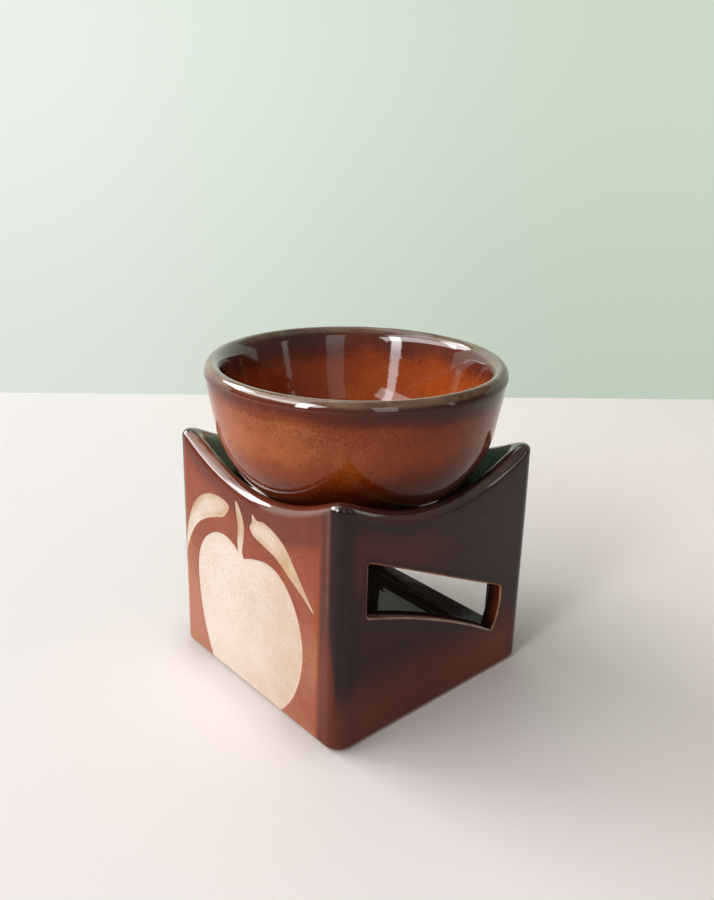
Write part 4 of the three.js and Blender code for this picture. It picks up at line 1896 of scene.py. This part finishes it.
@dataclass
class Tealight:
    """The tealight: foil cup, wax, tinned wick holder and cotton wick."""

    cup_wall: float = 0.4
    bead: float = 0.45
    heel_round: float = 1.0
    base_step: float = 0.35
    base_step_span: Span = (0.58, 0.62)
    bead_turn: float = 1.6
    clearance: float = 0.3
    wax_below_rim: float = 1.6
    wax_dish: float = 0.7
    wax_dish_reach: float = 1.1
    wick_climb: float = 0.5
    wick_climb_reach: float = 0.9
    collar_wall: float = 0.35
    collar_height: float = 3.2
    holder_thick: float = 0.4
    wick_bend: float = 1.6
    bend_start: float = 0.62
    strands: int = 3
    strand_swell: float = 0.1
    twists: float = 5.0
    wick_taper: Span = (0.01, 0.04)
    steps: int = 128
    wick_steps: int = 24
    wick_rows: int = 90
    cup_rows: int = 40
    side_rows: int = 10
    heel_steps: int = 8
    bead_steps: int = 14
    wax_rows: int = 120
    wax_top_rows: int = 60

    def __post_init__(self) -> None:
        """Takes the overall sizes from the CAD nodes."""
        low, high = node_box("tealight_cup")
        self.radius = float(high[0] - low[0]) / 2 - self.bead
        self.height = float(high[2] - low[2]) - self.bead
        self.centre = ((low + high) / 2)[:2]
        self.base = float(low[2])
        wick_low, wick_high = node_box("wick")
        self.wick_low, self.wick_high = float(wick_low[2]), float(wick_high[2])
        self.wick_radius = float(wick_high[0] - wick_low[0]) / 2
        holder_low, holder_high = node_box("wick_holder")
        self.holder_radius = float(holder_high[0] - holder_low[0]) / 2
        self.wax_low = float(node_box("tealight_wax")[0][2])

    def turned_piece(self, name: str, outline: Array, node: str,
                     finish: PatternFinish) -> Object:
        """A piece turned about the candle's axis.

        Args:
            name: The piece's name.
            outline: Rows of radius and height above the cup's base.
            node: The CAD node that it replaces.
            finish: The finish, whose slot names the material.

        Returns:
            The piece.
        """
        patches = Patches(())
        lathe(patches, outline, self.steps, (*self.centre, self.base))
        piece = patches.build(name)
        piece.data.materials.append(finish.material())
        return placed(piece, "tealight", finish.slot, node)

    def build_cup(self) -> Object:
        """Builds the foil cup with its rolled rim and the step drawn into its base.

        Returns:
            The cup.
        """
        inner = self.radius - self.cup_wall
        step_in, step_out = (self.radius * share for share in self.base_step_span)
        heel, floor = self.radius - self.heel_round, self.cup_wall + self.base_step
        base = np.array([(0, self.base_step), (step_in, self.base_step), (step_out, 0.0), (heel, 0.0)])
        turn = arc((heel, self.heel_round), self.heel_round, (3, 4), self.heel_steps)
        side = np.linspace((self.radius, self.heel_round), (self.radius, self.height - self.bead),
                           self.side_rows)
        bead = arc((self.radius, self.height), self.bead, (-1, self.bead_turn), self.bead_steps)
        inside = np.array([(inner, self.height), (inner, self.cup_wall + self.heel_round),
                           (inner - self.heel_round, floor), (0, floor)])
        outline = np.concatenate([
            spaced(base, self.cup_rows), turn[1:], side[1:], bead, spaced(inside, self.cup_rows)])
        return self.turned_piece("foil_cup", outline, "tealight_cup", FoilFinish())

    def build_wax(self) -> Object:
        """Builds the wax, dished by cooling and drawn up at the cup and at the wick.

        Returns:
            The wax.
        """
        low = self.wax_low - self.base
        top = self.height + self.bead - self.wax_below_rim
        radius = self.radius - self.cup_wall - self.clearance
        bore = self.wick_radius + self.clearance
        pocket = low + self.holder_thick + self.clearance
        collar = bore + self.collar_wall + self.clearance
        collar_top = low + self.holder_thick + self.collar_height + self.clearance
        reach = self.holder_radius + self.clearance
        below = np.array([(bore, collar_top), (collar, collar_top), (collar, pocket), (reach, pocket),
                          (reach, low), (radius - self.heel_round, low), (radius, low + self.heel_round),
                          (radius, top)])
        across = np.linspace(radius, bore, self.wax_top_rows)
        edge_climb = self.wax_dish * np.exp(-(radius - across) / self.wax_dish_reach)
        wick_climb = self.wick_climb * np.exp(-(across - bore) / self.wick_climb_reach)
        surface = np.column_stack([across, top - self.wax_dish + edge_climb + wick_climb])
        outline = np.concatenate([spaced(below, self.wax_rows), surface, [(bore, collar_top)]])
        return self.turned_piece("candle_wax", outline, "tealight_wax", WaxFinish())

    def build_wick(self) -> Object:
        """Builds the braided wick, its free end bent over.

        Returns:
            The wick.
        """
        share = np.linspace(0, 1, self.wick_rows)[:, None]
        angle = np.arange(self.wick_steps)[None] * 2 * math.pi / self.wick_steps
        free = np.clip((share - self.bend_start) / (1 - self.bend_start), 0, 1) ** 2
        lobes = np.cos(self.strands * angle + self.twists * 2 * math.pi * share)
        foot_taper, tip_taper = self.wick_taper
        ends = np.sqrt(np.clip((1 - share) / tip_taper, 0, 1)) * np.sqrt(np.clip(share / foot_taper, 0, 1))
        radius = self.wick_radius * (1 - self.strand_swell + self.strand_swell * lobes) * ends
        height = self.wick_low + (self.wick_high - self.wick_low) * share
        points = np.stack([self.centre[0] + self.wick_bend * free + radius * np.cos(angle),
                           self.centre[1] + radius * np.sin(angle), height + 0.0 * angle], -1)
        patches = Patches(())
        patches.add(points, closed=True)
        piece = patches.build("cotton_wick")
        finish = WickFinish()
        piece.data.materials.append(finish.material())
        return placed(piece, "tealight", finish.slot, "wick")

    def build_holder(self) -> Object:
        """Dresses the wick holder, whose CAD shape stays.

        Returns:
            The holder.
        """
        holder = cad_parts["wick_holder"]
        finish = TinnedFinish()
        holder.data.materials.clear()
        holder.data.materials.append(finish.material())
        return holder

    def build(self) -> list[Object]:
        """Builds and dresses the tealight."""
        return [self.build_cup(), self.build_wax(), self.build_holder(), self.build_wick()]


@dataclass(frozen=True)
class Lamp:
    """A soft rectangular lamp that faces the object."""

    name: str
    azimuth: float
    elevation: float
    distance: float
    width: float
    height: float
    power: float
    colour: Colour = (1.0, 1.0, 1.0)


@dataclass
class Studio:
    """Pale floor, pale green backdrop, soft lamps and the camera."""

    camera_place: tuple = (204.3, -181.73, 179.13)
    camera_heading: float = 48.18
    camera_pitch: float = -20.61
    camera_roll: float = 1.45
    focal_share: float = 868.23 / 900
    sensor: float = 36.0
    aim_height: float = 60.0
    backdrop_distance: float = 310.0
    backdrop_turn: float = 3.0
    reach: float = 4000.0
    backdrop_reach: float = 1400.0
    backdrop_height: float = 350.0
    # Painted light and shade: the floor is darker to the left and lighter and pinker to the right, against
    # the lamps' falloff
    floor_left: Colour = (0.70, 0.680, 0.672)
    floor_right: Colour = (0.93, 0.86, 0.83)
    floor_span: Span = (-330.0, 240.0)
    floor_roughness: float = 0.6
    # Painted contact shade on the floor round the object's foot, on its lit left side only
    contact_reach: float = 20.0
    contact_shade: float = 0.30
    contact_span: Span = (0.4, 1.0)
    contact_side_span: Span = (-15.0, 15.0)
    # Painted light: the backdrop is paler to the left and deeper to the right, as if lit from the left,
    # with painted shade at its foot
    backdrop_left: Colour = (0.83, 0.885, 0.82)
    backdrop_right: Colour = (0.60, 0.70, 0.575)
    backdrop_span: Span = (-240.0, 190.0)
    backdrop_rise: Span = (-20.0, 240.0)
    backdrop_foot_shade: float = 0.87
    backdrop_roughness: float = 0.9
    world_colour: Colour = (1.0, 0.94, 0.90)
    world_strength: float = 0.175
    lamps: tuple = (
        Lamp("window_left", -66.0, 34.0, 2200.0, 1150.0, 820.0, 19.3),
        Lamp("window_middle", -17.0, 35.0, 1600.0, 2240.0, 480.0, 14.2),
        Lamp("window_high", -35.0, 52.0, 1600.0, 2240.0, 450.0, 5.8),
        Lamp("window_right", 10.0, 25.0, 1590.0, 260.0, 940.0, 5.9),
        Lamp("far_window", 120.0, 14.0, 1600.0, 140.0, 560.0, 0.28),
        Lamp("room", 70.0, 24.0, 1600.0, 460.0, 900.0, 1.0),
        Lamp("ceiling", -80.0, 70.0, 1600.0, 1500.0, 640.0, 2.9, (1.0, 0.95, 0.94)),
    )

    def add_camera(self) -> None:
        """Adds the camera at the photograph's view."""
        data = bpy.data.cameras.new("photo_view")
        data.sensor_width = self.sensor
        data.lens = self.sensor * self.focal_share
        data.clip_start, data.clip_end = 0.01, 20.0
        camera = bpy.data.objects.new("photo_view", data)
        bpy.context.scene.collection.objects.link(camera)
        turn = Matrix.Rotation(math.radians(self.camera_heading), 4, "Z")
        tilt = Matrix.Rotation(math.radians(90 + self.camera_pitch), 4, "X")
        roll = Matrix.Rotation(math.radians(self.camera_roll), 4, "Z")
        camera.matrix_world = Matrix.Translation(Vector(self.camera_place) * MM) @ turn @ tilt @ roll
        bpy.context.scene.camera = camera

    def add_lamp(self, lamp: Lamp) -> None:
        """Adds one lamp.

        Args:
            lamp: The lamp.
        """
        data = bpy.data.lights.new(lamp.name, "AREA")
        data.shape = "RECTANGLE"
        data.size, data.size_y = lamp.width * MM, lamp.height * MM
        data.energy = lamp.power
        data.color = lamp.colour
        light = bpy.data.objects.new(lamp.name, data)
        bpy.context.scene.collection.objects.link(light)
        azimuth, elevation = math.radians(lamp.azimuth), math.radians(lamp.elevation)
        away = Vector((math.sin(azimuth) * math.cos(elevation), -math.cos(azimuth) * math.cos(elevation),
                       math.sin(elevation)))
        light.location = (away * lamp.distance + Vector((0, 0, self.aim_height))) * MM
        light.rotation_mode = "QUATERNION"
        light.rotation_quaternion = away.to_track_quat("Z", "Y")

    def add_plane(self, name: str, corners: Sequence[Sequence[float]], material: Material,
                  shades: bool = True) -> None:
        """Adds a flat sheet that isn't part of the object.

        Args:
            name: Its name.
            corners: Its four corners in millimetres.
            material: Its material.
            shades: Whether it stops the lamps' light.
        """
        mesh = bpy.data.meshes.new(name)
        mesh.from_pydata([tuple(value * MM for value in corner) for corner in corners], [], [(0, 1, 2, 3)])
        mesh.materials.append(material)
        plane = bpy.data.objects.new(name, mesh)
        plane.visible_shadow = shades
        bpy.context.scene.collection.objects.link(plane)

    def floor_material(self) -> Material:
        """The floor's pale colour, with painted light and shade: darker to the left and lighter to the
        right against the lamps' falloff, and painted contact shade round the object's foot on its lit side.

        Returns:
            The material.
        """
        material, shader, surface = new_material("floor", {"Roughness": self.floor_roughness})
        along = self.along(shader, shader.place())
        # Painted light and shade across the floor, darker left and lighter right
        colour = shader.mix(shader.step(along, *self.floor_span), self.floor_left, self.floor_right)
        # Painted contact shade: the floor's colour darkens where the object is near, on the left side
        contact = shader.node("ShaderNodeAmbientOcclusion", {"Distance": self.contact_reach * MM})
        near = shader.step(contact.outputs["AO"], *self.contact_span, self.contact_shade, 0.0)
        lit = shader.step(along, *self.contact_side_span, 1.0, 0.0)
        shade = shader.math("SUBTRACT", 1.0, shader.math("MULTIPLY", near, lit))
        shader.feed(surface.inputs["Base Color"], shader.shaded(colour, shade))
        return material

    def along(self, shader: Shader, place: NodeSocket) -> NodeSocket:
        """How far to the right a place lies, along the backdrop."""
        inputs = {0: place, 1: tuple(self.backdrop_directions()[1])}
        return shader.node("ShaderNodeVectorMath", inputs, operation="DOT_PRODUCT").outputs["Value"]

    def backdrop_material(self) -> Material:
        """The backdrop's pale green with painted light, paler to the left and deeper to the right, and
        painted shade towards the floor, glowing at that brightness for camera and glossy rays.

        Returns:
            The material.
        """
        material, shader, surface = new_material("backdrop", {"Roughness": self.backdrop_roughness})
        place = shader.place()
        along = self.along(shader, place)
        up = shader.node("ShaderNodeSeparateXYZ", {0: place}).outputs["Z"]
        rightward = shader.step(along, *self.backdrop_span)
        colour = shader.mix(rightward, self.backdrop_left, self.backdrop_right)
        shade = shader.step(up, *self.backdrop_rise, self.backdrop_foot_shade, 1.0)
        colour = shader.shaded(colour, shade)
        shader.feed(surface.inputs["Base Color"], colour)
        # The backdrop glows at its painted colour for camera, glossy and transmission rays
        rays = shader.node("ShaderNodeLightPath").outputs
        seen = shader.math("MAXIMUM", rays["Is Camera Ray"],
                           shader.math("MAXIMUM", rays["Is Glossy Ray"], rays["Is Transmission Ray"]))
        glow = shader.node("ShaderNodeEmission", {"Color": colour, "Strength": 1.0})
        both = shader.node("ShaderNodeMixShader", {0: seen, 1: surface.outputs["BSDF"], 2: glow.outputs[0]})
        output = next(node for node in material.node_tree.nodes if node.type == "OUTPUT_MATERIAL")
        shader.feed(output.inputs["Surface"], both.outputs[0])
        return material

    def backdrop_directions(self) -> tuple[Array, Array]:
        """The level directions towards the backdrop and along it to the right."""
        turn = math.radians(self.camera_heading + self.backdrop_turn)
        across, ahead = math.cos(turn), math.sin(turn)
        return np.array([-ahead, across, 0.0]), np.array([across, ahead, 0.0])

    def add_backdrop(self) -> None:
        """Adds the floor and the backdrop behind the object."""
        reach = self.reach
        floor = [(-reach, -reach, 0), (reach, -reach, 0), (reach, reach, 0), (-reach, reach, 0)]
        self.add_plane("floor", floor, self.floor_material())
        ahead, right = self.backdrop_directions()
        foot = ahead * self.backdrop_distance
        left_end, right_end = foot - right * self.backdrop_reach, foot + right * self.backdrop_reach
        up = np.array([0.0, 0.0, self.backdrop_height])
        corners = [tuple(corner) for corner in (left_end, right_end, right_end + up, left_end + up)]
        self.add_plane("backdrop", corners, self.backdrop_material(), shades=False)

    def add_world(self) -> None:
        """Adds the soft light from all round."""
        world = bpy.data.worlds.new("studio")
        world.use_nodes = True
        world.node_tree.nodes.clear()
        shader = Shader(world.node_tree)
        inputs = {"Color": self.world_colour, "Strength": self.world_strength}
        light = shader.node("ShaderNodeBackground", inputs)
        shader.node("ShaderNodeOutputWorld", {"Surface": light.outputs[0]})
        bpy.context.scene.world = world

    def build(self) -> None:
        """Builds the studio."""
        self.add_camera()
        self.add_backdrop()
        self.add_world()
        for lamp in self.lamps:
            self.add_lamp(lamp)
        bpy.context.scene.view_settings.view_transform = "Standard"


def report(pieces: Sequence[Object]) -> None:
    """Logs the pieces that were built."""
    for piece in pieces:
        LOG.info("%s: %d faces", piece.name, len(piece.data.polygons))


def main() -> None:
    """Builds the studio and the object in order."""
    logging.basicConfig(level=logging.INFO, format="%(message)s")
    Studio().build()
    report([Stand().build(), Bowl().build()])
    report(Tealight().build())


if __name__ == "__main__":
    main()
